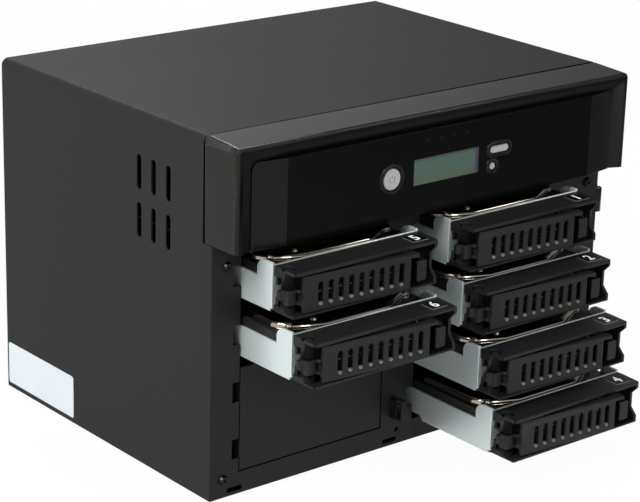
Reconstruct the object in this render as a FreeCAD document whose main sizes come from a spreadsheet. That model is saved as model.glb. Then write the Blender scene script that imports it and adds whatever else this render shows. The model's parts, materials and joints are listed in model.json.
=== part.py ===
import FreeCAD, Part
import math
import os
import re
import Sketcher

# A desktop storage server: a steel cabinet with a moulded head that carries the display and buttons,
# and eight drive bays below it in two columns. Six bays hold hot-swap trays, each with its drive, its
# swinging lever and its release tab. A blank plate closes the two bays at the lower left.
# X runs to the right seen from the front, Y to the rear and Z up. The origin is on the floor, under the
# middle of the cabinet. The trays stand pulled out by the distances given below.

SIZES = (
    ("cover_width", 300.0, "width of the cabinet"),
    ("cover_height", 212.0, "height of the cover"),
    ("cover_depth", 205.0, "length of the cover from its rear edge to its front edge"),
    ("cover_corner", 4.5, "radius of the cover's two top edges"),
    ("sheet", 1.0, "thickness of the cabinet's sheet steel"),
    ("foot_height", 3.0, "height of the rubber feet"),
    ("foot_radius", 9.0, "radius of a foot"),
    ("foot_side", 128.0, "distance of a foot from the middle, sideways"),
    ("foot_front_y", -78.0, "place of the front feet"),
    ("foot_rear_y", 98.0, "place of the rear feet"),
    ("cover_front_y", -88.0, "front edge of the cover"),
    ("rear_panel_y", 115.0, "inner face of the rear panel"),
    ("pan_flange", 12.0, "height of the base pan's side flanges"),
    ("vent_width", 4.6, "width of a side vent slot"),
    ("vent_height", 20.6, "height of a side vent slot"),
    ("vent_y", -55.6, "middle of the foremost column of vent slots"),
    ("vent_z", 141.3, "lower end of the lower row of vent slots"),
    ("vent_pitch", 14.05, "distance between vent columns"),
    ("vent_rise", 28.2, "distance between vent rows"),
    ("panel_y", -96.4, "face of the lower front panel"),
    ("panel_wall", 1.5, "thickness of the lower front panel"),
    ("panel_half", 150.0, "half width of the lower front panel"),
    ("panel_corner", 0.8, "radius of the lower front panel's upright edges"),
    ("head_base", 154.4, "height at which the moulded head begins"),
    ("head_front_y", -117.0, "front rim of the head"),
    ("head_taper", 0.95, "how far each side of the head leans in at the front"),
    ("head_fall", 1.4, "how far the top of the head falls to the front"),
    ("head_bend", 3.0, "radius of the head's top corners at the front"),
    ("head_edge", 2.4, "radius of the head's front edges"),
    ("head_wall", 2.5, "wall of the head"),
    ("rim_half", 145.2, "half width of the recess at the head's front rim"),
    ("rim_top", 208.6, "top of the recess at the head's front rim"),
    ("recess_half", 138.2, "half width of the recess floor"),
    ("recess_top", 204.8, "top of the recess floor"),
    ("recess_y", -114.0, "floor of the recess that takes the window"),
    ("window_y", -118.2, "face of the window's flat middle"),
    ("window_flat", 116.0, "half width of the window's flat middle"),
    ("window_half", 137.6, "half width of the window"),
    ("window_edge", 0.8, "thickness of the window at its two ends"),
    ("window_top", 204.1, "top edge of the window"),
    ("window_corner", 5.0, "radius of the window's top corners"),
    ("screen_half", 24.9, "half width of the display"),
    ("screen_low", 172.3, "lower edge of the display"),
    ("screen_high", 187.8, "upper edge of the display"),
    ("screen_rim", 4.0, "margin of the display's case around the glass"),
    ("board_front_y", -106.0, "front face of the control board"),
    ("board", 1.6, "thickness of a circuit board"),
    ("board_half", 66.0, "half width of the control board"),
    ("board_low", 159.0, "lower edge of the control board"),
    ("board_high", 207.0, "upper edge of the control board"),
    ("power_x", -41.4, "middle of the power button"),
    ("power_z", 179.3, "middle of the power button"),
    ("power_radius", 6.25, "radius of the power button"),
    ("pill_x", 41.0, "middle of the display button"),
    ("pill_z", 184.0, "middle of the display button"),
    ("pill_length", 14.4, "length of the display button"),
    ("pill_height", 4.2, "height of the display button"),
    ("round_x", 35.9, "middle of the function button"),
    ("round_z", 174.2, "middle of the function button"),
    ("round_radius", 2.1, "radius of the function button"),
    ("button_gap", 0.3, "gap around a button"),
    ("button_proud", 0.2, "how far a button stands out of the window"),
    ("button_flange", 1.4, "width of the flange that keeps a button in"),
    ("button_travel", 1.2, "how far a button is pressed"),
    ("lamp_radius", 1.1, "radius of an indicator light"),
    ("lamp_z", 198.0, "height of the indicator lights"),
    ("lamp_pitch", 10.0, "distance between indicator lights"),
    ("right_column", 1.4, "left side of the trays in the right column"),
    ("left_column", -129.2, "left side of the trays in the left column"),
    ("tray_width", 104.6, "width of a tray"),
    ("tray_height", 28.0, "height of a tray's ears"),
    ("plate_top", 26.9, "height of a tray's front plate between the ears"),
    ("tray_steel", 1.5, "thickness of a tray's steel"),
    ("tray_length", 146.0, "length of a tray's side arms"),
    ("tray_pitch", 34.4, "height from one bay to the next"),
    ("tray_base", 17.5, "height of the lowest tray"),
    ("tray_home", -86.0, "front plate of a tray that is pushed home"),
    ("pull_one", 35.0, "how far tray 1 stands out"),
    ("pull_two", 48.5, "how far tray 2 stands out"),
    ("pull_three", 65.0, "how far tray 3 stands out"),
    ("pull_four", 78.0, "how far tray 4 stands out"),
    ("pull_five", 37.0, "how far tray 5 stands out"),
    ("pull_six", 55.0, "how far tray 6 stands out"),
    ("ear_length", 13.4, "length of the raised ear at the front of a tray's arm"),
    ("ear_radius", 6.5, "radius of the ear's rear corner"),
    ("arm_height", 18.0, "height of a tray's arm behind the ear"),
    ("skirt_length", 59.0, "length of the lower skirt of a tray's arm"),
    ("skirt_step", 3.0, "how far the arm steps up behind the skirt"),
    ("corner_notch", 1.7, "notch at the foot of a tray's front corner"),
    ("front_left", 1.0, "left edge of a tray's plastic front"),
    ("front_right", 104.6, "right edge of a tray's plastic front at the steel"),
    ("front_taper", 1.2, "how far the right edge leans in at the front"),
    ("front_depth", 18.5, "depth of a tray's plastic front"),
    ("front_low", 0.5, "underside of a tray's plastic front"),
    ("front_high", 26.5, "top of a tray's plastic front"),
    ("front_wall", 2.0, "wall of a tray's plastic front"),
    ("shelf_wall", 1.2, "thickness of the plastic front's lower shelf"),
    ("front_corner", 1.2, "radius of the plastic front's left corner"),
    ("skirt_top", 5.7, "height of the upper band on the plastic front's left side"),
    ("skirt_foot", 3.2, "height of the lower band on the plastic front's left side"),
    ("skirt_reach", 9.0, "how far the bands run forward from the steel"),
    ("strip_right", 2.4, "right edge of the strip of steel that shows beside the bands"),
    ("dish_depth", 1.2, "depth of the dish over the pivot pin"),
    ("pin_inset", 0.7, "how far the pin ends inside the plastic front"),
    ("airway_side", 14.0, "margin of a tray's air opening at its two ends"),
    ("airway_rim", 5.0, "margin of a tray's air opening above and below"),
    ("end_foot", 4.3, "height of the end wall's foot below its notch"),
    ("end_brow", 3.9, "height of the end wall's brow above its notch"),
    ("end_notch", 4.3, "depth of the end wall's notch"),
    ("end_slant", 4.4, "rise of the notch's slanted sides"),
    ("pivot_x", 5.1, "lever pivot from the tray's left side"),
    ("pivot_y", -8.0, "lever pivot from the tray's front plate"),
    ("pivot_radius", 2.0, "radius of the lever's pivot pin"),
    ("pivot_play", 0.05, "running clearance of the pivot pin"),
    ("knuckle_radius", 4.3, "radius of the hinge knuckles"),
    ("knuckle_low", 6.4, "lower end of the lever's knuckle"),
    ("knuckle_high", 15.0, "upper end of the lever's knuckle"),
    ("knuckle_gap", 0.3, "gap between the knuckles"),
    ("lever_left", 7.9, "left edge of the lever's plate"),
    ("lever_right", 82.2, "right edge of the lever's plate"),
    ("lever_low", 2.0, "lower edge of the lever's plate"),
    ("lever_high", 23.4, "upper edge of the lever's plate"),
    ("lever_face", -17.2, "face of the lever's plate at its left edge"),
    ("lever_lean", 3.2, "how far the lever's right edge stands further out"),
    ("lever_wall", 2.2, "thickness of the lever's plate"),
    ("slot_first", 19.9, "first slot of the lever"),
    ("slot_pitch", 7.0, "distance between the lever's slots"),
    ("slot_count", 9.0, "number of slots in a lever"),
    ("slot_width", 3.2, "width of a lever slot"),
    ("slot_low", 5.0, "lower end of a lever slot"),
    ("slot_high", 18.2, "upper end of a lever slot"),
    ("slot_bevel", 0.6, "bevel around the front of a lever slot"),
    ("lip_right", 85.8, "right end of the lever's finger lip"),
    ("lip_reach", 3.4, "how far the finger lip stands out at its right end"),
    ("lip_wall", 2.0, "thickness of the finger lip"),
    ("lip_corner", 0.8, "radius of the finger lip's corner"),
    ("claw_reach", 7.0, "reach of the lever's claw from the pivot"),
    ("claw_low", 9.3, "lower side of the claw"),
    ("claw_high", 14.6, "upper side of the claw"),
    ("arm_half", 4.2, "reach of the lever's arm to the left of the pivot"),
    ("arm_set", 4.4, "how far the arm's face lies behind the lever's face"),
    ("arm_web", 1.9, "height of the two bridges from the arm to the plate"),
    ("arm_window", 1.4, "left edge of the arm's window, to the right of the pivot"),
    ("arm_root", 5.0, "where the arm leaves the plate, from the plate's left edge"),
    ("tab_left", 89.3, "left edge of the release tab"),
    ("tab_right", 96.2, "right edge of the release tab"),
    ("tab_low", 4.3, "lower edge of the release tab"),
    ("tab_high", 16.1, "upper edge of the release tab"),
    ("tab_face", -17.6, "face of the release tab"),
    ("tab_wall", 2.0, "thickness of the release tab"),
    ("tab_corner", 1.2, "radius of the release tab's corners"),
    ("tab_stem", 2.4, "stem of the release tab from the tab's left edge"),
    ("tab_play", 0.3, "gap between the tab's stem and the tray front"),
    ("drive_width", 101.6, "width of a drive"),
    ("drive_length", 147.0, "length of a drive"),
    ("drive_height", 26.1, "height of a drive"),
    ("drive_front", 3.0, "front of a drive behind the tray's front plate"),
    ("drive_low", 1.0, "underside of a drive above the tray's lower edge"),
    ("drive_lid", 4.2, "depth of a drive's stamped lid"),
    ("lid_margin", 2.5, "margin of the lid inside the casting's sides"),
    ("lid_front", 1.6, "margin of the lid at the drive's front"),
    ("lid_cut", 74.0, "where the lid's slanted corner begins"),
    ("lid_cut_end", 93.0, "where the lid's slanted corner ends"),
    ("lid_cut_depth", 11.0, "how far the slanted corner runs back"),
    ("lid_bend", 5.0, "radius of the bends beside the slanted corner"),
    ("lid_corner", 9.0, "radius of the lid's corners"),
    ("lid_edge", 3.0, "radius of the lid's rolled edge"),
    ("case_corner", 2.0, "radius of the drive casting's upright edges"),
    ("plug_left", 8.5, "drive plug from the drive's left side"),
    ("plug_wide", 42.0, "width of a drive plug"),
    ("plug_low", 2.0, "drive plug above the drive's underside"),
    ("plug_tall", 6.0, "height of a drive plug"),
    ("plug_deep", 5.4, "reach of a backplane plug"),
    ("bay_gap", 0.8, "gap between a tray and the panel's opening"),
    ("opening_low", 16.2, "lower edge of the panel's openings"),
    ("opening_high", 150.0, "upper edge of the panel's openings"),
    ("notch_depth", 4.8, "depth of a claw notch beside an opening"),
    ("notch_low", 7.4, "lower end of a claw notch above the tray's lower edge"),
    ("notch_height", 12.0, "height of a claw notch"),
    ("plate_low", 17.0, "lower edge of the blank plate"),
    ("plate_high", 79.6, "upper edge of the blank plate"),
    ("snap_low", 26.0, "height of the blank plate's side snaps above its lower edge"),
    ("snap_tall", 10.0, "height of a side snap"),
    ("snap_deep", 4.0, "depth of a side snap"),
    ("plate_fold", 14.0, "depth of the blank plate's folded sides"),
    ("lug_low", 119.3, "lower end of the door hinge lug"),
    ("lug_tall", 15.0, "height of the door hinge lug"),
    ("lug_arm", 2.0, "hinge axis of the lug beyond the panel"),
    ("lug_bore", 1.5, "radius of the lug's bore"),
    ("keeper_left", 18.2, "left side of the latch keeper, left of the right column"),
    ("keeper_right", 13.8, "right side of the latch keeper, left of the right column"),
    ("keeper_low", 21.3, "lower edge of the latch keeper"),
    ("keeper_high", 34.3, "upper edge of the latch keeper"),
    ("keeper_depth", 10.0, "how far the latch keeper stands out"),
    ("keeper_brow", 3.0, "walls above and below the latch keeper's mouth"),
    ("keeper_nose", 1.6, "wall in front of the latch keeper's mouth"),
    ("keeper_mouth", 2.4, "width of the latch keeper's mouth"),
    ("slot_half", 5.3, "half length of the panel's foot slots"),
    ("slot_foot", 5.0, "lower edge of the panel's foot slots"),
    ("slot_head", 8.0, "upper edge of the panel's foot slots"),
    ("panel_hole", 1.6, "radius of the hole below the latch keeper"),
    ("panel_hole_z", 12.4, "height of the hole below the latch keeper"),
    ("cage_gap", 1.3, "gap between a tray and the cage wall"),
    ("cage_rear", 70.0, "rear edge of the cage and front of the backplane"),
    ("cage_fold", 9.0, "width of the fold at the front of a cage wall"),
    ("claw_room", 0.8, "room around a claw notch in the cage walls"),
    ("claw_window", 12.0, "length of a claw window in the cage walls"),
    ("deck_z", 152.0, "underside of the deck above the bays"),
    ("rail_front", -80.0, "front end of the guide rails"),
    ("rail_wall", 0.9, "thickness of a guide rail's upright leg"),
    ("rail_ledge", 4.0, "width of a guide rail's ledge"),
    ("rail_drop", 1.8, "underside of a guide rail below the tray"),
    ("rail_play", 0.4, "gap between the ledge and the tray"),
    ("rail_leg", 6.0, "top of a guide rail's leg above the tray's lower edge"),
    ("fan_size", 80.0, "side of a fan's frame"),
    ("fan_depth", 25.0, "depth of a fan's frame"),
    ("fan_bore", 38.2, "radius of a fan's air passage"),
    ("fan_hub", 15.0, "radius of a fan's hub"),
    ("fan_tip", 36.4, "radius of a fan's blades"),
    ("fan_axle", 3.0, "radius of a fan's axle"),
    ("fan_z", 82.0, "height of the fans' axles"),
    ("blade_count", 7.0, "number of blades"),
    ("spider", 3.0, "thickness of the spider that carries a fan's axle"),
    ("axle_reach", 11.0, "length of a fan's axle"),
    ("axle_play", 0.05, "running clearance of a fan's axle"),
    ("blade_thin", 1.4, "thickness of a blade"),
    ("guard_first", 12.0, "radius of the finger guard's inner ring"),
    ("guard_step", 9.0, "distance between the finger guard's rings"),
    ("guard_reach", 43.0, "reach of the finger guard's cross wires"),
    ("guard_wire", 1.4, "thickness of a finger guard's wire"),
    ("supply_left", -140.0, "left side of the power supply"),
    ("supply_right", -40.0, "right side of the power supply"),
    ("supply_front", -35.0, "front of the power supply"),
    ("supply_height", 52.0, "height of the power supply"),
    ("supply_rim", 4.0, "margin of the power supply behind the rear panel"),
    ("inlet_x", -118.0, "middle of the mains inlet"),
    ("inlet_z", 180.0, "middle of the mains inlet"),
    ("inlet_wide", 24.2, "width of the mains inlet's cavity"),
    ("inlet_tall", 16.6, "height of the mains inlet's cavity"),
    ("inlet_deep", 15.0, "depth of the mains inlet's cavity"),
    ("inlet_side", 1.4, "wall beside the inlet's cavity"),
    ("inlet_brow", 1.7, "wall above and below the inlet's cavity"),
    ("inlet_flange", 1.6, "flange around the inlet"),
    ("inlet_proud", 2.0, "how far the inlet stands out of the power supply"),
    ("inlet_bevel", 5.0, "bevel of the inlet cavity's two upper corners"),
    ("blade_side", 7.0, "outer contact blades from the inlet's middle"),
    ("blade_drop", 0.6, "outer contact blades below the inlet's middle"),
    ("blade_rise", 3.4, "middle contact blade above the inlet's middle"),
    ("blade_thick", 2.0, "thickness of a contact blade"),
    ("blade_tall", 4.0, "height of a contact blade"),
    ("main_x", 112.3, "inner face of the main board"),
    ("main_front", -60.0, "front edge of the main board"),
    ("main_rear", 112.0, "rear edge of the main board"),
    ("main_low", 10.0, "lower edge of the main board"),
    ("main_high", 146.0, "upper edge of the main board"),
    ("post_inset", 6.0, "spacer posts from the main board's edges"),
    ("post_radius", 3.0, "radius of a spacer post"),
    ("cooler_front", -20.0, "front edge of the cooler"),
    ("cooler_low", 60.0, "lower edge of the cooler"),
    ("cooler_side", 48.0, "side of the square cooler"),
    ("cooler_base", 4.0, "base of the cooler"),
    ("fin_reach", 11.0, "reach of a cooling fin"),
    ("fin_thick", 1.2, "thickness of a cooling fin"),
    ("fin_count", 10.0, "number of cooling fins"),
    ("socket_wall", 1.1, "wall of a rear socket"),
    ("socket_deep", 13.0, "depth of a rear socket"),
    ("socket_room", 0.2, "gap around a rear socket in the rear panel"),
    ("socket_y", 98.0, "front of the rear sockets"),
    ("socket_rear", 116.4, "face of the rear sockets"),
    ("network_wide", 13.6, "width of a network socket, away from the board"),
    ("network_tall", 16.0, "height of a network socket"),
    ("serial_wide", 7.2, "width of a serial bus socket, away from the board"),
    ("serial_tall", 14.4, "height of a serial bus socket"),
)

# The trays: number, column, row counted from the lowest, and how far each stands out.
TRAYS = (
    (1, "right_column", 3, "pull_one"),
    (2, "right_column", 2, "pull_two"),
    (3, "right_column", 1, "pull_three"),
    (4, "right_column", 0, "pull_four"),
    (5, "left_column", 3, "pull_five"),
    (6, "left_column", 2, "pull_six"),
)
COLUMNS = ("left_column", "right_column")
FANS = (("left", "left_column"), ("right", "right_column"))

doc = FreeCAD.newDocument("storage_server")
sheet = doc.addObject("Spreadsheet::Sheet", "Dims")
for row, (alias, size, meaning) in enumerate(SIZES, start=1):
    sheet.set(f"A{row}", meaning)
    sheet.set(f"B{row}", str(size))
    sheet.setAlias(f"B{row}", alias)
doc.recompute()
ALIASES = {alias for alias, size, meaning in SIZES}
sub_parts = []


def bound(text):
    """The expression that reads every named size in the text from the sheet."""
    return re.sub(
        r"[a-z_]+",
        lambda word: "Dims." + word.group() if word.group() in ALIASES else word.group(),
        text,
    )


def number(text):
    return float(sheet.evalExpression(bound(text)))


# Bodies and sketches


def new_body(label):
    body = doc.addObject("PartDesign::Body", label)
    body.Label = label
    sub_parts.append(body)
    return body


def place(body, x, y, z):
    body.setExpression("Placement.Base.x", bound(x))
    body.setExpression("Placement.Base.y", bound(y))
    body.setExpression("Placement.Base.z", bound(z))


def plane_sketch(body, role, offset):
    sketch = body.newObject("Sketcher::SketchObject", body.Name + "_sketch")
    plane = next(item for item in body.Origin.OriginFeatures if item.Role == role)
    sketch.AttachmentSupport = [(plane, "")]
    sketch.MapMode = "FlatFace"
    sketch.setExpression("AttachmentOffset.Base.z", bound(offset))
    sketch.Visibility = False
    return sketch


def top_sketch(body, z):
    """A sketch seen from above: its axes are X and Y."""
    return plane_sketch(body, "XY_Plane", z)


def front_sketch(body, y):
    """A sketch seen from the front: its axes are X and Z, and its pads run to the front."""
    return plane_sketch(body, "XZ_Plane", f"-({y})")


def side_sketch(body, x):
    """A sketch seen from the right: its axes are Y and Z, and its pads run to the right."""
    return plane_sketch(body, "YZ_Plane", x)


def constrain(sketch, constraints):
    """Adds the constraints, each with the text that drives it or None."""
    first = sketch.ConstraintCount
    sketch.addConstraint([constraint for constraint, text in constraints])
    for index, (constraint, text) in enumerate(constraints, start=first):
        if text is not None:
            sketch.setExpression(f"Constraints[{index}]", bound(text))


def at_place(geometry, point, x, y):
    """Ties a point of the sketch to its distances from the axes."""
    across = Sketcher.Constraint("DistanceX", -1, 1, geometry, point, number(x))
    up = Sketcher.Constraint("DistanceY", -1, 1, geometry, point, number(y))
    return [(across, x), (up, y)]


def nearest_end(sketch, geometry, target):
    start_gap = (sketch.getPoint(geometry, 1) - target).Length
    end_gap = (sketch.getPoint(geometry, 2) - target).Length
    return 1 if start_gap < end_gap else 2


def outline(sketch, corners):
    """A closed run of lines through the corners. A third value rounds a corner to that radius."""
    count = len(corners)
    spots = [FreeCAD.Vector(number(corner[0]), number(corner[1]), 0) for corner in corners]
    arrive = []
    leave = []
    middles = []
    for index, corner in enumerate(corners):
        radius = number(corner[2]) if len(corner) > 2 else 0.0
        back = (spots[index - 1] - spots[index]).normalize()
        onward = (spots[(index + 1) % count] - spots[index]).normalize()
        half = back.getAngle(onward) / 2
        reach = radius / math.tan(half)
        inward = (back + onward).normalize() if radius else back
        arrive.append(spots[index] + back * reach)
        leave.append(spots[index] + onward * reach)
        middles.append(spots[index] + inward * (radius / math.sin(half) - radius))
    lines = []
    for index in range(count):
        edge = Part.LineSegment(leave[index], arrive[(index + 1) % count])
        lines.append(sketch.addGeometry(edge, False))
    constraints = []
    for index, corner in enumerate(corners):
        before = lines[index - 1]
        after = lines[index]
        if len(corner) < 3:
            constraints.append((Sketcher.Constraint("Coincident", before, 2, after, 1), None))
            constraints += at_place(after, 1, corner[0], corner[1])
            continue
        arc = sketch.addGeometry(Part.Arc(arrive[index], middles[index], leave[index]), False)
        vertex = sketch.addGeometry(Part.Point(spots[index]), True)
        entry = nearest_end(sketch, arc, arrive[index])
        constraints.append((Sketcher.Constraint("Tangent", before, 2, arc, entry), None))
        constraints.append((Sketcher.Constraint("Tangent", arc, 3 - entry, after, 1), None))
        constraints.append((Sketcher.Constraint("Radius", arc, number(corner[2])), corner[2]))
        constraints.append((Sketcher.Constraint("PointOnObject", vertex, 1, before), None))
        constraints.append((Sketcher.Constraint("PointOnObject", vertex, 1, after), None))
        constraints += at_place(vertex, 1, corner[0], corner[1])
    constrain(sketch, constraints)


def rectangle(sketch, left, low, right, high, radius=None):
    rounding = () if radius is None else (radius,)
    corners = [(left, low), (right, low), (right, high), (left, high)]
    outline(sketch, [corner + rounding for corner in corners])


def circle(sketch, x, y, radius):
    centre = FreeCAD.Vector(number(x), number(y), 0)
    ring = Part.Circle(centre, FreeCAD.Vector(0, 0, 1), number(radius))
    geometry = sketch.addGeometry(ring, False)
    size = Sketcher.Constraint("Radius", geometry, number(radius))
    constrain(sketch, [(size, radius)] + at_place(geometry, 3, x, y))


def round_slot(sketch, first, second, radius):
    """A slot with two half-round ends, centred on two places on one upright or level line."""
    start = FreeCAD.Vector(number(first[0]), number(first[1]), 0)
    finish = FreeCAD.Vector(number(second[0]), number(second[1]), 0)
    along = (finish - start).normalize()
    aside = FreeCAD.Vector(-along.y, along.x, 0) * number(radius)
    outward = along * number(radius)
    one = sketch.addGeometry(Part.LineSegment(start + aside, finish + aside), False)
    far = sketch.addGeometry(Part.Arc(finish + aside, finish + outward, finish - aside), False)
    two = sketch.addGeometry(Part.LineSegment(finish - aside, start - aside), False)
    near = sketch.addGeometry(Part.Arc(start - aside, start - outward, start + aside), False)
    far_entry = nearest_end(sketch, far, finish + aside)
    near_entry = nearest_end(sketch, near, start - aside)
    constraints = [
        (Sketcher.Constraint("Tangent", one, 2, far, far_entry), None),
        (Sketcher.Constraint("Tangent", far, 3 - far_entry, two, 1), None),
        (Sketcher.Constraint("Tangent", two, 2, near, near_entry), None),
        (Sketcher.Constraint("Tangent", near, 3 - near_entry, one, 1), None),
        (Sketcher.Constraint("Radius", far, number(radius)), radius),
        (Sketcher.Constraint("Radius", near, number(radius)), radius),
    ]
    constraints += at_place(far, 3, second[0], second[1])
    constraints += at_place(near, 3, first[0], first[1])
    constrain(sketch, constraints)


# Features


def pad(body, sketch, length, against=False):
    """Raises the sketch by the length, along its normal or against it."""
    feature = body.newObject("PartDesign::Pad", body.Name + "_pad")
    feature.Profile = sketch
    feature.setExpression("Length", bound(length))
    feature.Reversed = against
    doc.recompute()
    return feature


def pocket(body, sketch, length, against=False, both_ways=False):
    """Cuts the sketch out by the length, opposite to a pad, and makes sure that it removed something."""
    before = body.Shape.Volume
    feature = body.newObject("PartDesign::Pocket", body.Name + "_pocket")
    feature.Profile = sketch
    feature.setExpression("Length", bound(length))
    feature.Reversed = against
    if both_ways:
        feature.SideType = "Symmetric"
    doc.recompute()
    if body.Shape.Volume >= before:
        raise RuntimeError(f"{feature.Name} in {body.Label} cuts nothing")
    return feature


def row(body, feature, sketch, axis, length, count):
    """Repeats a feature in a row along an axis of its sketch."""
    pattern = body.newObject("PartDesign::LinearPattern", body.Name + "_row")
    pattern.Originals = [feature]
    pattern.Direction = (sketch, [axis])
    pattern.setExpression("Length", bound(length))
    pattern.setExpression("Occurrences", bound(count))
    body.Tip = pattern
    doc.recompute()
    return pattern


def grid(body, feature, sketch, length, count, rise, floors):
    """Repeats a feature along both axes of its sketch."""
    pattern = row(body, feature, sketch, "H_Axis", length, count)
    pattern.Direction2 = (sketch, ["V_Axis"])
    pattern.setExpression("Length2", bound(rise))
    pattern.setExpression("Occurrences2", bound(floors))
    doc.recompute()
    return pattern


def turn(body, feature, role, count):
    """Repeats a feature evenly around one of the body's axes."""
    axis = next(item for item in body.Origin.OriginFeatures if item.Role == role)
    pattern = body.newObject("PartDesign::PolarPattern", body.Name + "_turn")
    pattern.Originals = [feature]
    pattern.Axis = (axis, [""])
    pattern.Angle = 360
    pattern.setExpression("Occurrences", bound(count))
    body.Tip = pattern
    doc.recompute()
    return pattern


def loft(body, kind, first, second):
    """A solid, or a cut, with straight lines from one sketch to the other."""
    feature = body.newObject("PartDesign::" + kind, body.Name + "_loft")
    feature.Profile = first
    feature.Sections = [second]
    feature.Ruled = True
    doc.recompute()
    return feature


def soften(body, kind, size, chosen):
    """Rounds or bevels the edges that chosen picks on the body's present solid."""
    base = body.Tip
    names = [f"Edge{index}" for index, edge in enumerate(base.Shape.Edges, start=1) if chosen(edge)]
    feature = body.newObject("PartDesign::" + kind, body.Name + "_" + kind.lower())
    feature.Base = (base, names)
    feature.setExpression("Radius" if kind == "Fillet" else "Size", bound(size))
    doc.recompute()
    return feature


def runs_along(edge, axis):
    """Whether a straight edge is parallel to the axis, given as 0, 1 or 2."""
    if len(edge.Vertexes) != 2:
        return False
    span = edge.Vertexes[1].Point - edge.Vertexes[0].Point
    return abs(abs(span[axis]) - edge.Length) < 1e-6


def is_at(edge, axis, text):
    return abs(edge.CenterOfMass[axis] - number(text)) < 0.05


# Cabinet


def outer_cover():
    body = new_body("outer_cover")
    sketch = front_sketch(body, "cover_front_y")
    half = "cover_width / 2"
    inner = "(cover_width / 2 - sheet)"
    low = "foot_height"
    top = "foot_height + cover_height"
    bend = "cover_corner - sheet"
    outline(sketch, [
        (f"-{half}", low),
        (f"-{half}", top, "cover_corner"),
        (half, top, "cover_corner"),
        (half, low),
        (inner, low),
        (inner, f"{top} - sheet", bend),
        (f"-{inner}", f"{top} - sheet", bend),
        (f"-{inner}", low),
    ])
    pad(body, sketch, "cover_depth", against=True)
    vents = side_sketch(body, "0")
    low_end = "vent_z + vent_width / 2"
    high_end = "vent_z + vent_height - vent_width / 2"
    round_slot(vents, ("vent_y", low_end), ("vent_y", high_end), "vent_width / 2")
    slot = pocket(body, vents, "cover_width + 2 * sheet", both_ways=True)
    grid(body, slot, vents, "2 * vent_pitch", "3", "vent_rise", "2")


def base_pan():
    body = new_body("base_pan")
    sketch = front_sketch(body, "cover_front_y")
    half = "(cover_width / 2 - sheet)"
    inner = "(cover_width / 2 - 2 * sheet)"
    floor = "foot_height"
    outline(sketch, [
        (f"-{half}", f"{floor} + pan_flange"),
        (f"-{half}", floor),
        (half, floor),
        (half, f"{floor} + pan_flange"),
        (inner, f"{floor} + pan_flange"),
        (inner, f"{floor} + sheet"),
        (f"-{inner}", f"{floor} + sheet"),
        (f"-{inner}", f"{floor} + pan_flange"),
    ])
    pad(body, sketch, "rear_panel_y - cover_front_y", against=True)
    tongue = top_sketch(body, floor)
    narrow = "(panel_half - panel_wall - panel_corner)"
    rectangle(tongue, f"-{narrow}", "panel_y + panel_wall", narrow, "cover_front_y")
    pad(body, tongue, "sheet")


def rear_panel():
    body = new_body("rear_panel")
    sketch = front_sketch(body, "rear_panel_y")
    half = "(cover_width / 2 - sheet)"
    top = "foot_height + cover_height - sheet"
    bend = "cover_corner - sheet"
    outline(sketch, [
        (f"-{half}", "foot_height"),
        (half, "foot_height"),
        (half, top, bend),
        (f"-{half}", top, bend),
    ])
    for side, column in FANS:
        circle(sketch, f"{column} + tray_width / 2", "fan_z", "fan_bore")
    margin = "supply_rim"
    supply_low = f"deck_z + sheet + {margin}"
    supply_high = f"deck_z + sheet + supply_height - {margin}"
    rectangle(
        sketch, f"supply_left + {margin}", supply_low, f"supply_right - {margin}", supply_high, "2"
    )
    for low, tall, wide in socket_places():
        rectangle(
            sketch,
            "main_x + board - socket_room",
            f"{low} - socket_room",
            f"main_x + board + {wide} + socket_room",
            f"{low} + {tall} + socket_room",
        )
    pad(body, sketch, "sheet", against=True)


def rubber_feet():
    body = new_body("rubber_feet")
    sketch = top_sketch(body, "0")
    for side in ("-", ""):
        for spot in ("foot_front_y", "foot_rear_y"):
            circle(sketch, f"{side}foot_side", spot, "foot_radius")
    pad(body, sketch, "foot_height")
    soften(body, "Chamfer", "0.8", lambda edge: is_at(edge, 2, "0"))


# Lower front


def lower_front_panel():
    body = new_body("lower_front_panel")
    plan = top_sketch(body, "foot_height")
    inner = "(panel_half - panel_wall)"
    back = "panel_y + panel_wall"
    outline(plan, [
        ("-panel_half", "cover_front_y"),
        ("-panel_half", "panel_y", "panel_corner"),
        ("panel_half", "panel_y", "panel_corner"),
        ("panel_half", "cover_front_y"),
        (inner, "cover_front_y"),
        (inner, back),
        (f"-{inner}", back),
        (f"-{inner}", "cover_front_y"),
    ])
    pad(body, plan, "head_base - foot_height")
    for column in COLUMNS:
        front = front_sketch(body, "panel_y - 1")
        left = f"{column} - bay_gap"
        right = f"{column} + tray_width + bay_gap"
        rectangle(front, left, "opening_low", right, "opening_high")
        pocket(body, front, "panel_wall + 2")
        notch = front_sketch(body, "panel_y - 1")
        low = "tray_base + notch_low"
        rectangle(notch, f"{left} - notch_depth", low, f"{left} + 1", f"{low} + notch_height")
        cut = pocket(body, notch, "panel_wall + 2")
        row(body, cut, notch, "V_Axis", "3 * tray_pitch", "4")
    foot_slots(body, "panel_wall + 2")
    hole = front_sketch(body, "panel_y - 1")
    circle(hole, "right_column - 12.6", "panel_hole_z", "panel_hole")
    pocket(body, hole, "panel_wall + 2")


def foot_slots(body, depth):
    """Cuts the two slots at the panel's foot, from the front."""
    sketch = front_sketch(body, "panel_y - 1")
    for middle in ("left_column - 3.4", "right_column - 18.1"):
        rectangle(sketch, f"{middle} - slot_half", "slot_foot", f"{middle} + slot_half", "slot_head")
    pocket(body, sketch, depth)


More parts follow.
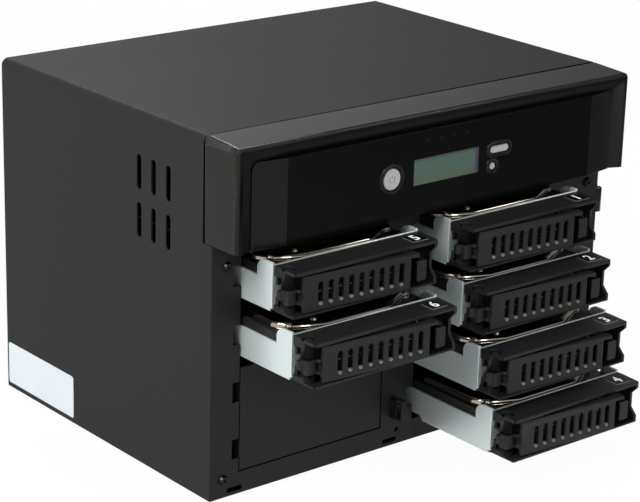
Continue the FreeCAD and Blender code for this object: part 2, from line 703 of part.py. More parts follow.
def blank_plate():
    body = new_body("blank_plate")
    plan = top_sketch(body, "plate_low")
    left = "left_column"
    right = "(left_column + tray_width)"
    back = "panel_y + panel_wall"
    rear = "panel_y + plate_fold"
    outline(plan, [
        (left, rear),
        (left, "panel_y"),
        (right, "panel_y"),
        (right, rear),
        (f"{right} - panel_wall", rear),
        (f"{right} - panel_wall", back),
        (f"{left} + panel_wall", back),
        (f"{left} + panel_wall", rear),
    ])
    pad(body, plan, "plate_high - plate_low")
    snaps = top_sketch(body, "plate_low + snap_low")
    rectangle(snaps, f"{left} - cage_gap", f"{rear} - snap_deep", left, rear)
    rectangle(snaps, right, f"{rear} - snap_deep", f"{right} + cage_gap", rear)
    pad(body, snaps, "snap_tall")


def door_hinge_lug():
    body = new_body("door_hinge_lug")
    plan = top_sketch(body, "lug_low")
    middle = "(panel_y + cover_front_y) / 2"
    reach = "(cover_front_y - panel_y) / 2"
    arm = "panel_half + lug_arm"
    outline(plan, [
        ("panel_half", f"{middle} - {reach}"),
        (f"{arm} + {reach}", f"{middle} - {reach}", f"{reach} - 0.1"),
        (f"{arm} + {reach}", f"{middle} + {reach}", f"{reach} - 0.1"),
        ("panel_half", f"{middle} + {reach}"),
    ])
    circle(plan, arm, middle, "lug_bore")
    pad(body, plan, "lug_tall")


def latch_keeper():
    """The tongue on the panel that a door's bolt grips."""
    body = new_body("latch_keeper")
    front = front_sketch(body, "panel_y")
    left = "right_column - keeper_left"
    right = "right_column - keeper_right"
    rectangle(front, left, "keeper_low", right, "keeper_high", "1")
    pad(body, front, "keeper_depth")
    mouth = side_sketch(body, f"{right} + 1")
    nose = "panel_y - keeper_depth + keeper_nose"
    high = "keeper_high - keeper_brow"
    rectangle(mouth, nose, "keeper_low + keeper_brow", f"{nose} + keeper_mouth", high)
    pocket(body, mouth, "keeper_left - keeper_right + 2")


# Moulded head


def bezel():
    body = new_body("bezel")
    rear = front_sketch(body, "cover_front_y")
    top = "foot_height + cover_height"
    head_outline(rear, "(cover_width / 2)", top, "cover_corner")
    front = front_sketch(body, "head_front_y")
    head_outline(front, "(cover_width / 2 - head_taper)", f"{top} - head_fall", "head_bend")
    loft(body, "AdditiveLoft", rear, front)
    soften(
        body,
        "Fillet",
        "head_edge",
        lambda edge: is_at(edge, 1, "head_front_y") and not is_at(edge, 2, "head_base"),
    )
    hollow = front_sketch(body, "cover_front_y")
    inner = "(cover_width / 2 - head_taper - head_wall)"
    rectangle(hollow, f"-{inner}", "head_base + head_wall", inner, f"{top} - head_fall - head_wall")
    pocket(body, hollow, "cover_front_y - recess_y - head_wall", against=True)
    rim = front_sketch(body, "head_front_y")
    rectangle(rim, "-rim_half", "head_base - 1", "rim_half", "rim_top")
    floor = front_sketch(body, "recess_y")
    rectangle(floor, "-recess_half", "head_base - 1", "recess_half", "recess_top")
    loft(body, "SubtractiveLoft", rim, floor)
    opening = front_sketch(body, "recess_y - 1")
    rectangle(opening, "-board_half + 8", "board_low + 6", "board_half - 8", "recess_top - 3.8")
    pocket(body, opening, "head_wall + 2")


def head_outline(sketch, half, top, bend):
    outline(sketch, [
        (f"-{half}", "head_base"),
        (half, "head_base"),
        (half, top, bend),
        (f"-{half}", top, bend),
    ])


def power_outline(sketch, margin):
    circle(sketch, "power_x", "power_z", f"power_radius + {margin}")


def pill_outline(sketch, margin):
    reach = "(pill_length - pill_height) / 2"
    first = (f"pill_x - {reach}", "pill_z")
    second = (f"pill_x + {reach}", "pill_z")
    round_slot(sketch, first, second, f"pill_height / 2 + {margin}")


def round_outline(sketch, margin):
    circle(sketch, "round_x", "round_z", f"round_radius + {margin}")


BUTTONS = (
    ("power_button", power_outline),
    ("display_button", pill_outline),
    ("function_button", round_outline),
)
FLANGE_Y = "(recess_y + 0.6)"
LAMPS = [f"({step} * lamp_pitch)" for step in (-1.5, -0.5, 0.5, 1.5)]


def window_panel():
    body = new_body("window_panel")
    face = front_sketch(body, "recess_y")
    outline(face, [
        ("-window_half", "head_base"),
        ("window_half", "head_base"),
        ("window_half", "window_top", "window_corner"),
        ("-window_half", "window_top", "window_corner"),
    ])
    pad(body, face, "recess_y - window_y")
    bevels = top_sketch(body, "head_base - 1")
    for side in ("", "-"):
        outline(bevels, [
            (f"{side}window_flat", "window_y"),
            (f"{side}window_half", "recess_y - window_edge"),
            (f"{side}(window_half + 1)", "recess_y - window_edge"),
            (f"{side}(window_half + 1)", "window_y - 1"),
            (f"{side}window_flat", "window_y - 1"),
        ])
    pocket(body, bevels, "window_top - head_base + 2", against=True)
    holes = front_sketch(body, "window_y - 1")
    play = "0.1"
    rectangle(
        holes,
        f"-screen_half - {play}",
        f"screen_low - {play}",
        f"screen_half + {play}",
        f"screen_high + {play}",
    )
    for label, draw in BUTTONS:
        draw(holes, "button_gap")
    for lamp_x in LAMPS:
        circle(holes, lamp_x, "lamp_z", f"lamp_radius + {play}")
    pocket(body, holes, "recess_y - window_y + 2")


def display_module():
    body = new_body("display_module")
    case_y = "recess_y + 0.5"
    case = front_sketch(body, "board_front_y")
    rectangle(
        case,
        "-screen_half - screen_rim",
        "screen_low - screen_rim",
        "screen_half + screen_rim",
        "screen_high + screen_rim",
        "1.5",
    )
    pad(body, case, f"board_front_y - ({case_y})")
    glass = front_sketch(body, case_y)
    rectangle(glass, "-screen_half", "screen_low", "screen_half", "screen_high")
    pad(body, glass, f"{case_y} - (window_y + 0.3)")


def indicator_lights():
    body = new_body("indicator_lights")
    sketch = front_sketch(body, "board_front_y")
    for lamp_x in LAMPS:
        circle(sketch, lamp_x, "lamp_z", "lamp_radius")
    pad(body, sketch, "board_front_y - window_y")


def button(label, draw):
    """A button cap with the flange that keeps it behind the window."""
    body = new_body(label)
    cap = front_sketch(body, FLANGE_Y)
    draw(cap, "0")
    pad(body, cap, f"{FLANGE_Y} - (window_y - button_proud)")
    flange = front_sketch(body, FLANGE_Y)
    draw(flange, "button_flange")
    pad(body, flange, "button_flange", against=True)
    brow = "window_y - button_proud"
    soften(body, "Fillet", "0.4", lambda edge: is_at(edge, 1, brow))


def control_board():
    body = new_body("control_board")
    sketch = front_sketch(body, "board_front_y")
    rectangle(sketch, "-board_half", "board_low", "board_half", "board_high")
    pad(body, sketch, "board", against=True)
    switches = front_sketch(body, "board_front_y")
    half = "3"
    for x, z in (("power_x", "power_z"), ("pill_x", "pill_z"), ("round_x", "round_z")):
        rectangle(switches, f"{x} - {half}", f"{z} - {half}", f"{x} + {half}", f"{z} + {half}")
    pressed = f"({FLANGE_Y} + button_flange + button_travel)"
    pad(body, switches, f"board_front_y - {pressed} - button_gap")
    posts = front_sketch(body, "board_front_y")
    for side in ("-", ""):
        for height in ("board_low + 3", "board_high - 4"):
            circle(posts, f"{side}(board_half - 4)", height, "2")
    pad(body, posts, "board_front_y - recess_y - head_wall")


# Drive cage


def cage_side_walls():
    body = new_body("cage_side_walls")
    plan = top_sketch(body, "foot_height + sheet")
    front = "panel_y + panel_wall"
    left = "(left_column - cage_gap)"
    right = "(right_column + tray_width + cage_gap)"
    for face, outward in ((left, "-"), (right, "+")):
        outline(plan, [
            (face, front),
            (f"{face} {outward} cage_fold", front),
            (f"{face} {outward} cage_fold", f"{front} + sheet"),
            (f"{face} {outward} sheet", f"{front} + sheet"),
            (f"{face} {outward} sheet", "cage_rear"),
            (face, "cage_rear"),
        ])
    pad(body, plan, "deck_z - foot_height - sheet")
    claw_windows(body, f"{left} + 1", "12")
    foot_slots(body, "panel_wall + sheet + 2")


def cage_centre_wall():
    body = new_body("cage_centre_wall")
    plan = top_sketch(body, "foot_height + sheet")
    front = "panel_y + panel_wall"
    left = "(left_column + tray_width + cage_gap)"
    right = "(right_column - cage_gap)"
    outline(plan, [
        (left, "cage_rear"),
        (left, front),
        (right, front),
        (right, "cage_rear"),
        (f"{right} - sheet", "cage_rear"),
        (f"{right} - sheet", f"{front} + sheet"),
        (f"{left} + sheet", f"{front} + sheet"),
        (f"{left} + sheet", "cage_rear"),
    ])
    pad(body, plan, "deck_z - foot_height - sheet")
    claw_windows(body, f"{right} + 1", "6")
    foot_slots(body, "panel_wall + sheet + 2")


def claw_windows(body, x, depth):
    """Cuts one window for each lever's claw into a cage wall, from its right side."""
    sketch = side_sketch(body, x)
    low = "tray_base + notch_low - claw_room"
    rectangle(sketch, "panel_y", low, "panel_y + claw_window", f"{low} + notch_height + 2 * claw_room")
    cut = pocket(body, sketch, depth)
    row(body, cut, sketch, "V_Axis", "3 * tray_pitch", "4")


def top_deck():
    body = new_body("top_deck")
    sketch = top_sketch(body, "deck_z")
    half = "(cover_width / 2 - sheet)"
    rectangle(sketch, f"-{half}", "cover_front_y + 2", half, "rear_panel_y")
    pad(body, sketch, "sheet")


def guide_rails():
    body = new_body("guide_rails")
    sketch = front_sketch(body, "rail_front")
    low = "tray_base - rail_drop"
    ledge = "tray_base - rail_play"
    high = "tray_base + rail_leg"
    for column in COLUMNS:
        left = f"({column} - cage_gap)"
        right = f"({column} + tray_width + cage_gap)"
        for wall, inward in ((left, "+"), (right, "-")):
            outline(sketch, [
                (wall, low),
                (f"{wall} {inward} rail_ledge", low),
                (f"{wall} {inward} rail_ledge", ledge),
                (f"{wall} {inward} rail_wall", ledge),
                (f"{wall} {inward} rail_wall", high),
                (wall, high),
            ])
    rails = pad(body, sketch, "cage_rear - rail_front - 6", against=True)
    row(body, rails, sketch, "V_Axis", "3 * tray_pitch", "4")


def backplane():
    body = new_body("backplane")
    sketch = front_sketch(body, "cage_rear")
    left = "left_column - cage_gap - sheet"
    right = "right_column + tray_width + cage_gap + sheet"
    rectangle(sketch, left, "foot_height + sheet", right, "deck_z")
    pad(body, sketch, "board", against=True)
    plugs = front_sketch(body, "cage_rear")
    side = "left_column + tray_steel + plug_left"
    low = "tray_base + drive_low + plug_low"
    rectangle(plugs, side, low, f"{side} + plug_wide", f"{low} + plug_tall")
    plug = pad(body, plugs, "plug_deep")
    grid(body, plug, plugs, "right_column - left_column", "2", "3 * tray_pitch", "4")
    slots = front_sketch(body, "cage_rear - 1")
    rectangle(slots, "left_column + 20", "tray_base + 18", "left_column + 84", "tray_base + 26", "2")
    slot = pocket(body, slots, "board + 2")
    grid(body, slot, slots, "right_column - left_column", "2", "3 * tray_pitch", "4")


# Trays


def tray_place(body, column, level, pull):
    place(body, column, f"tray_home - {pull}", f"tray_base + {level} * tray_pitch")


def tray_frame(label):
    """The steel yoke: a front plate and two arms that hold the drive by its sides."""
    body = new_body(label)
    plate = front_sketch(body, "0")
    rectangle(plate, "0", "0", "tray_width", "plate_top")
    pad(body, plate, "tray_steel", against=True)
    arm = side_sketch(body, "0")
    outline(arm, [
        ("0", "0"),
        ("skirt_length", "0"),
        ("skirt_length + 2.4", "skirt_step"),
        ("tray_length", "skirt_step"),
        ("tray_length", "arm_height"),
        ("ear_length", "arm_height"),
        ("ear_length", "tray_height", "ear_radius"),
        ("0", "tray_height"),
    ])
    left = pad(body, arm, "tray_steel")
    across = front_sketch(body, "0")
    row(body, left, across, "H_Axis", "tray_width - tray_steel", "2")
    airway = front_sketch(body, "-1")
    air_opening(airway)
    pocket(body, airway, "tray_steel + 2")
    notch = side_sketch(body, "2 * tray_steel")
    rectangle(notch, "-1", "-1", "corner_notch", "corner_notch")
    pocket(body, notch, "3 * tray_steel")
    return body


def air_opening(sketch):
    high = "tray_height - airway_rim"
    rectangle(sketch, "airway_side", "airway_rim", "tray_width - airway_side", high)


def tray_front(label):
    """The moulded front: two shelves, a back wall, an end wall and the lever's hinge knuckles."""
    body = new_body(label)
    back = front_sketch(body, "0")
    rectangle(back, "front_left", "front_low", "front_right", "front_high")
    pad(body, back, "front_wall")
    for level, wall in (("front_low", "shelf_wall"), ("front_high - front_wall", "front_wall")):
        shelf = top_sketch(body, level)
        outline(shelf, [
            ("front_left", "0"),
            ("front_left", "-front_depth", "front_corner"),
            ("front_right - front_taper", "-front_depth", "1"),
            ("front_right", "0"),
        ])
        pad(body, shelf, wall)
    end = side_sketch(body, "front_right - front_taper - front_wall")
    outline(end, [
        ("0", "front_low"),
        ("-front_depth", "front_low"),
        ("-front_depth", "front_low + end_foot"),
        ("-front_depth + end_notch", "front_low + end_foot + end_slant"),
        ("-front_depth + end_notch", "front_high - end_brow - end_slant"),
        ("-front_depth", "front_high - end_brow"),
        ("-front_depth", "front_high"),
        ("0", "front_high"),
    ])
    pad(body, end, "front_wall")
    for low, tall in (("front_low", "skirt_foot"), ("front_high - skirt_top", "skirt_top")):
        band = top_sketch(body, low)
        rectangle(band, "front_left", "-skirt_reach", "front_left + front_wall", "0")
        pad(body, band, tall)
    heel = front_sketch(body, "tray_steel")
    rectangle(heel, "0.2", "front_low", "2 * tray_steel - 0.2", "corner_notch - 0.2")
    pad(body, heel, "tray_steel")
    lower = top_sketch(body, "front_low + shelf_wall")
    circle(lower, "pivot_x", "pivot_y", "knuckle_radius")
    pad(body, lower, "knuckle_low - knuckle_gap - front_low - shelf_wall")
    upper = top_sketch(body, "knuckle_high + knuckle_gap")
    circle(upper, "pivot_x", "pivot_y", "knuckle_radius")
    pad(body, upper, "front_high - front_wall - knuckle_high - knuckle_gap")
    bore = top_sketch(body, "front_high + 1")
    circle(bore, "pivot_x", "pivot_y", "pivot_radius + pivot_play")
    pocket(body, bore, "front_high + 2")
    dish = top_sketch(body, "front_high")
    circle(dish, "pivot_x", "pivot_y", "knuckle_radius")
    pocket(body, dish, "dish_depth")
    airway = front_sketch(body, "-front_wall - 1")
    air_opening(airway)
    pocket(body, airway, "front_wall + 2")
    room = front_sketch(body, "-front_wall - 1")
    left = "front_left - 1"
    high = "front_high - skirt_top"
    outline(room, [
        (left, "front_low + skirt_foot"),
        ("strip_right", "front_low + skirt_foot"),
        ("strip_right", "claw_low - claw_room"),
        ("pivot_x + knuckle_radius + claw_room", "claw_low - claw_room"),
        ("pivot_x + knuckle_radius + claw_room", "claw_high + claw_room"),
        ("strip_right", "claw_high + claw_room"),
        ("strip_right", high),
        (left, high),
    ])
    pocket(body, room, "front_wall + 2")
    return body


def lever(label):
    """The slotted lever with its finger lip, hinge knuckle, pivot pin and claw."""
    body = new_body(label)
    tip_face = "(lever_face - lever_lean)"
    plan = top_sketch(body, "lever_low")
    outline(plan, [
        ("lever_left", "lever_face + lever_wall"),
        ("lever_left", "lever_face"),
        ("lever_right", tip_face),
        ("lever_right", f"{tip_face} + lever_wall"),
    ])
    pad(body, plan, "lever_high - lever_low")
    lip = top_sketch(body, "lever_high - lip_wall")
    outline(lip, [
        ("lever_left", "lever_face + lever_wall"),
        ("lever_left", "lever_face"),
        ("lip_right", f"{tip_face} - lip_reach", "lip_corner"),
        ("lip_right", f"{tip_face} + lever_wall"),
    ])
    pad(body, lip, "lip_wall")
    slots = front_sketch(body, "lever_face - lever_lean - 6")
    low = "slot_low + slot_width / 2"
    high = "slot_high - slot_width / 2"
    round_slot(slots, ("slot_first", low), ("slot_first", high), "slot_width / 2")
    slot = pocket(body, slots, "lever_lean + lever_wall + 7")
    row(body, slot, slots, "H_Axis", "(slot_count - 1) * slot_pitch", "slot_count")
    soften(body, "Chamfer", "slot_bevel", is_slot_mouth)
    knuckle = top_sketch(body, "knuckle_low")
    circle(knuckle, "pivot_x", "pivot_y", "knuckle_radius")
    pad(body, knuckle, "knuckle_high - knuckle_low")
    arm = top_sketch(body, "knuckle_low")
    outline(arm, [
        ("pivot_x - arm_half", "pivot_y"),
        ("pivot_x - arm_half", "lever_face + arm_set"),
        ("lever_left - 1", "lever_face + arm_set"),
        ("lever_left + 0.4", "lever_face + lever_wall / 2"),
        ("lever_left + arm_root", "lever_face + lever_wall / 2"),
        ("pivot_x + arm_half", "pivot_y"),
    ])
    pad(body, arm, "knuckle_high - knuckle_low")
    window = front_sketch(body, "lever_face - 3")
    rectangle(
        window,
        "pivot_x + arm_window",
        "knuckle_low + arm_web",
        "lever_left + 0.3",
        "knuckle_high - arm_web",
    )
    pocket(body, window, "pivot_y - pivot_radius - 0.4 - lever_face + 3")
    claw = top_sketch(body, "claw_low")
    outline(claw, [
        ("pivot_x - 2", "pivot_y - 3.5"),
        ("pivot_x - claw_reach", "pivot_y - 1"),
        ("pivot_x - claw_reach", "pivot_y + 1.6"),
        ("pivot_x - 2", "pivot_y + 3.2"),
    ])
    pad(body, claw, "claw_high - claw_low")
    pin = top_sketch(body, "front_low + pin_inset")
    circle(pin, "pivot_x", "pivot_y", "pivot_radius")
    pad(body, pin, "front_high - front_low - 2 * pin_inset")
    return body


def is_slot_mouth(edge):
    """Whether an edge runs around a slot on the face of the lever's plate."""
    lean = number("lever_lean / (lever_right - lever_left)")
    for vertex in edge.Vertexes:
        spot = vertex.Point
        face = number("lever_face") - lean * (spot.x - number("lever_left"))
        if abs(spot.y - face) > 0.01 or not number("slot_low") - 1 < spot.z < number("slot_high") + 1:
            return False
    return number("lever_left") + 1 < edge.CenterOfMass.x < number("lever_right") - 1


def release_tab(label):
    """The sprung tab beside the lever: a thumb face on a stem that slides sideways."""
    body = new_body(label)
    thumb = front_sketch(body, "tab_face + tab_wall")
    rectangle(thumb, "tab_left", "tab_low", "tab_right", "tab_high", "tab_corner")
    pad(body, thumb, "tab_wall")
    foot = "front_low + shelf_wall + tab_play"
    stem = top_sketch(body, foot)
    left = "tab_left + tab_stem"
    rectangle(stem, left, "tab_face + tab_wall", f"{left} + tab_wall", "-front_wall - tab_play")
    pad(body, stem, f"tab_high - ({foot})")
    return body


def drive(label):
    """A 3.5-inch drive: cast base, stamped lid with round corners, and the plug's recess at the rear."""
    body = new_body(label)
    left = "tray_steel"
    right = "(tray_steel + drive_width)"
    rear = "(drive_front + drive_length)"
    base = top_sketch(body, "drive_low")
    rectangle(base, left, "drive_front", right, rear, "case_corner")
    pad(body, base, "drive_height - drive_lid")
    lid = top_sketch(body, "drive_low + drive_height - drive_lid")
    outline(lid, [
        (f"{left} + lid_margin", f"{rear} - lid_margin", "lid_corner"),
        (f"{left} + lid_margin", "drive_front + lid_front", "lid_corner"),
        ("lid_cut", "drive_front + lid_front", "lid_bend"),
        ("lid_cut_end", "drive_front + lid_front + lid_cut_depth", "lid_bend"),
        (f"{right} - lid_margin", "drive_front + lid_front + lid_cut_depth", "lid_bend"),
        (f"{right} - lid_margin", f"{rear} - lid_margin", "lid_corner"),
    ])
    pad(body, lid, "drive_lid")
    top = "drive_low + drive_height"
    soften(body, "Fillet", "lid_edge", lambda edge: is_at(edge, 2, top))
    plug = front_sketch(body, rear)
    side = f"{left} + plug_left"
    low = "drive_low + plug_low"
    rectangle(plug, side, low, f"{side} + plug_wide", f"{low} + plug_tall")
    pocket(body, plug, "plug_deep + bay_gap", against=True)
    return body


# Boards, sockets and power


def socket_places():
    """The rear sockets from below: lower edge, height and width of each."""
    return (
        ("60", "serial_tall", "serial_wide"),
        ("78", "serial_tall", "serial_wide"),
        ("96", "network_tall", "network_wide"),
        ("116", "network_tall", "network_wide"),
    )


def main_board():
    body = new_body("main_board")
    sketch = side_sketch(body, "main_x")
    rectangle(sketch, "main_front", "main_low", "main_rear", "main_high")
    pad(body, sketch, "board")
    posts = side_sketch(body, "main_x")
    wall = "right_column + tray_width + cage_gap + sheet"
    for y in ("main_front + post_inset", "cage_rear - post_inset"):
        for z in ("main_low + post_inset", "main_high - post_inset"):
            circle(posts, y, z, "post_radius")
    pad(body, posts, f"main_x - ({wall})", against=True)
    cooler = side_sketch(body, "main_x + board")
    cooler_rear = "cooler_front + cooler_side"
    rectangle(cooler, "cooler_front", "cooler_low", cooler_rear, "cooler_low + cooler_side")
    pad(body, cooler, "cooler_base")
    fin = side_sketch(body, "main_x + board + cooler_base")
    rectangle(fin, "cooler_front", "cooler_low", cooler_rear, "cooler_low + fin_thick")
    blade = pad(body, fin, "fin_reach")
    row(body, blade, fin, "V_Axis", "cooler_side - fin_thick", "fin_count")


def rear_sockets():
    body = new_body("rear_sockets")
    left = "(main_x + board)"
    shells = front_sketch(body, "socket_y")
    mouths = front_sketch(body, "socket_rear")
    for low, tall, wide in socket_places():
        rectangle(shells, left, low, f"{left} + {wide}", f"{low} + {tall}")
        rectangle(
            mouths,
            f"{left} + socket_wall",
            f"{low} + socket_wall",
            f"{left} + {wide} - socket_wall",
            f"{low} + {tall} - socket_wall",
        )
    pad(body, shells, "socket_rear - socket_y", against=True)
    pocket(body, mouths, "socket_deep", against=True)


def power_supply():
    body = new_body("power_supply")
    floor = "deck_z + sheet"
    plan = top_sketch(body, floor)
    rectangle(plan, "supply_left", "supply_front", "supply_right", "rear_panel_y")
    pad(body, plan, "supply_height")
    inside = top_sketch(body, floor)
    rectangle(
        inside,
        "supply_left + sheet",
        "supply_front + sheet",
        "supply_right - sheet",
        "rear_panel_y - sheet",
    )
    pocket(body, inside, "supply_height - sheet", against=True)
    hole = front_sketch(body, "rear_panel_y + 1")
    inlet_shell(hole, "0.1")
    pocket(body, hole, "sheet + 2", against=True)
    slots = front_sketch(body, "rear_panel_y + 1")
    first = "supply_right - 12"
    low = f"{floor} + 12"
    high = f"{floor} + 40"
    round_slot(slots, (first, low), (first, high), "1.5")
    slot = pocket(body, slots, "sheet + 2", against=True)
    louvres = row(body, slot, slots, "H_Axis", "36", "7")
    louvres.Reversed = True
    doc.recompute()


def inlet_shell(sketch, margin):
    rectangle(
        sketch,
        f"inlet_x - inlet_wide / 2 - inlet_side - {margin}",
        f"inlet_z - inlet_tall / 2 - inlet_brow - {margin}",
        f"inlet_x + inlet_wide / 2 + inlet_side + {margin}",
        f"inlet_z + inlet_tall / 2 + inlet_brow + {margin}",
        "1",
    )


def mains_inlet():
    body = new_body("mains_inlet")
    flange = front_sketch(body, "rear_panel_y")
    inlet_shell(flange, "inlet_flange")
    pad(body, flange, "inlet_proud", against=True)
    shell = front_sketch(body, "rear_panel_y")
    inlet_shell(shell, "0")
    pad(body, shell, "inlet_deep + 1")
    left = "inlet_x - inlet_wide / 2"
    right = "inlet_x + inlet_wide / 2"
    low = "inlet_z - inlet_tall / 2"
    high = "inlet_z + inlet_tall / 2"
    mouth = "rear_panel_y + inlet_proud"
    cavity = front_sketch(body, mouth)
    outline(cavity, [
        (left, low),
        (right, low),
        (right, f"{high} - inlet_bevel"),
        (f"{right} - inlet_bevel", high),
        (f"{left} + inlet_bevel", high),
        (left, f"{high} - inlet_bevel"),
    ])
    pocket(body, cavity, "inlet_deep", against=True)
    blades = front_sketch(body, f"{mouth} - inlet_deep")
    live = ("inlet_x - blade_side", "inlet_z - blade_drop")
    neutral = ("inlet_x + blade_side", "inlet_z - blade_drop")
    earth = ("inlet_x", "inlet_z + blade_rise")
    half = "blade_thick / 2"
    rise = "blade_tall / 2"
    for x, z in (live, neutral, earth):
        rectangle(blades, f"{x} - {half}", f"{z} - {rise}", f"{x} + {half}", f"{z} + {rise}")
    pad(body, blades, "inlet_deep - 2 * inlet_side", against=True)


# Fans


def fan_place(body, column):
    place(body, f"{column} + tray_width / 2", "rear_panel_y - fan_depth", "fan_z")


def fan_frame(label):
    """The square frame with its round passage, and the spider that carries the axle."""
    body = new_body(label)
    shell = front_sketch(body, "0")
    rectangle(shell, "-fan_size / 2", "-fan_size / 2", "fan_size / 2", "fan_size / 2", "4")
    circle(shell, "0", "0", "fan_bore")
    pad(body, shell, "fan_depth", against=True)
    seat = "fan_depth - spider"
    hub = front_sketch(body, seat)
    circle(hub, "0", "0", "fan_hub")
    pad(body, hub, "spider", against=True)
    strut = front_sketch(body, seat)
    rectangle(strut, "fan_hub - 1", "-spider / 2", "fan_bore + 0.8", "spider / 2")
    spoke = pad(body, strut, "spider", against=True)
    turn(body, spoke, "Y_Axis", "4")
    axle = front_sketch(body, seat)
    circle(axle, "0", "0", "fan_axle")
    pad(body, axle, "axle_reach")
    return body


def fan_rotor(label):
    """The hub with its ring of twisted blades."""
    body = new_body(label)
    front = "spider"
    rear = "(fan_depth - spider - knuckle_gap)"
    hub = front_sketch(body, front)
    circle(hub, "0", "0", "fan_hub")
    pad(body, hub, f"{rear} - {front}", against=True)
    root = side_sketch(body, "fan_hub - 2")
    blade_section(root, ("5", "-7"), ("19", "5"))
    tip = side_sketch(body, "fan_tip - 3.4")
    blade_section(tip, ("6", "-14"), ("18", "8"))
    blade = loft(body, "AdditiveLoft", root, tip)
    turn(body, blade, "Y_Axis", "blade_count")
    bore = front_sketch(body, rear)
    circle(bore, "0", "0", "fan_axle + axle_play")
    pocket(body, bore, "axle_reach + knuckle_gap", against=True)
    return body


def blade_section(sketch, leading, trailing):
    """A blade's slanted section between its leading and trailing edges."""
    outline(sketch, [
        leading,
        trailing,
        (trailing[0], f"{trailing[1]} + blade_thin"),
        (leading[0], f"{leading[1]} + blade_thin"),
    ])


def fan_guards():
    body = new_body("fan_guards")
    seat = "rear_panel_y + sheet"
    rings = front_sketch(body, seat)
    upright = front_sketch(body, seat)
    level = front_sketch(body, seat)
    half = "guard_wire / 2"
    for side, column in FANS:
        middle = f"({column} + tray_width / 2)"
        for ring in range(4):
            radius = f"guard_first + {ring} * guard_step"
            circle(rings, middle, "fan_z", f"{radius} - {half}")
            circle(rings, middle, "fan_z", f"{radius} + {half}")
        high = "fan_z + guard_reach"
        rectangle(upright, f"{middle} - {half}", "fan_z - guard_reach", f"{middle} + {half}", high)
        right = f"{middle} + guard_reach"
        rectangle(level, f"{middle} - guard_reach", f"fan_z - {half}", right, f"fan_z + {half}")
    for sketch in (rings, upright, level):
        pad(body, sketch, "guard_wire", against=True)


# The whole server

for build in (
    outer_cover,
    base_pan,
    rear_panel,
    rubber_feet,
    lower_front_panel,
    blank_plate,
    door_hinge_lug,
    latch_keeper,
    bezel,
    window_panel,
    display_module,
    indicator_lights,
    control_board,
    cage_side_walls,
    cage_centre_wall,
    top_deck,
    guide_rails,
    backplane,
    main_board,
    rear_sockets,
    power_supply,
    mains_inlet,
    fan_guards,
):
    build()
for label, draw in BUTTONS:
    button(label, draw)
for side, column in FANS:
    fan_place(fan_frame(f"fan_frame_{side}"), column)
    fan_place(fan_rotor(f"fan_rotor_{side}"), column)
for tray_number, column, level, pull in TRAYS:
    for make in (tray_frame, tray_front, lever, release_tab, drive):
        tray_place(make(f"{make.__name__}_{tray_number}"), column, level, pull)
doc.recompute()

for item in doc.Objects:
    if "Invalid" in item.State or "Error" in item.State:
        raise RuntimeError(f"{item.Label} failed to build")
for body in sub_parts:
    if body.Shape.isNull() or not body.Shape.isValid():
        raise RuntimeError(f"{body.Label} has no valid shape")
os.makedirs("parts", exist_ok=True)
for body in sub_parts:
    body.Shape.exportStep(f"parts/{body.Label}.step")
print(len(sub_parts), "sub-parts written")
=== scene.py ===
import bmesh
import bpy
import json
import math
from mathutils import Matrix, Vector


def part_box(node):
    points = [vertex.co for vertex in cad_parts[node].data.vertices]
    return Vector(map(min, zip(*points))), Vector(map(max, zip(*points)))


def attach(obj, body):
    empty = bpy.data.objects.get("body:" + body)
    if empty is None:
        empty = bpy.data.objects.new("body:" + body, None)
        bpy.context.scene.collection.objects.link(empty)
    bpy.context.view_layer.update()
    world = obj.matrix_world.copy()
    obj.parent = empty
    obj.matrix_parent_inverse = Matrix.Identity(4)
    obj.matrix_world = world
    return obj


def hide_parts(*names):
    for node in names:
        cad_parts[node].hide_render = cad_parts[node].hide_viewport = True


# A desktop storage server with its drive trays pulled out in steps. Lengths are in millimetres and
# turn to metres where a mesh is made. X runs to the right seen from the front, Y to the rear, Z up.

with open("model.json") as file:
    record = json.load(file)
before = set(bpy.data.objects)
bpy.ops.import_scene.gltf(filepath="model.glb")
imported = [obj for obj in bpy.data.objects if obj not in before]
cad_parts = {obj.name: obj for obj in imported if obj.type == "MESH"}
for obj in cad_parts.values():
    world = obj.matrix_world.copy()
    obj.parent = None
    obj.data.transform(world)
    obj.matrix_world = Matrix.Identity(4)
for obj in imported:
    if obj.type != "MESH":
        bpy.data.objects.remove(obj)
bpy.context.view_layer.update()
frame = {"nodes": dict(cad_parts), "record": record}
nodes = frame["nodes"]
record = frame["record"]
MM = 0.001
BODY_OF = {
    node: body for body, members in record["behaviour"]["bodies"].items() for node in members
}

# The camera stands where the photograph was taken.
IMAGE_WIDTH = 640
SENSOR_WIDTH = 36.0
FOCAL_PIXELS = 2205.25
CAMERA_AZIMUTH = math.radians(-39.711)
CAMERA_ELEVATION = math.radians(18.811)
CAMERA_ROLL = math.radians(1.544)
CAMERA_PLACE = Vector((-825.4, -1000.9, 537.9))

# The cabinet and its head.
CABINET_WIDTH = 300.0
PANEL_Y = -96.4
SEAM_Y = -88.0
NEAR_SEAM = 0.05
HEAD_TOP = 215.0
REAR_Y = 116.0
SUPPLY_PLATE_Y = REAR_Y - 4.0
FAN_Z = 82.0
FANS = {"left": -76.9, "right": 53.7}

# The head's controls on the window's face: middle across, middle height, width and height.
WINDOW_Y = -118.2
POWER = (-41.4, 179.3, 12.5, 12.5)
DISPLAY = (41.0, 184.0, 14.4, 4.2)
FUNCTION = (35.9, 174.2, 4.2, 4.2)
BUTTON_FACE = WINDOW_Y - 0.2

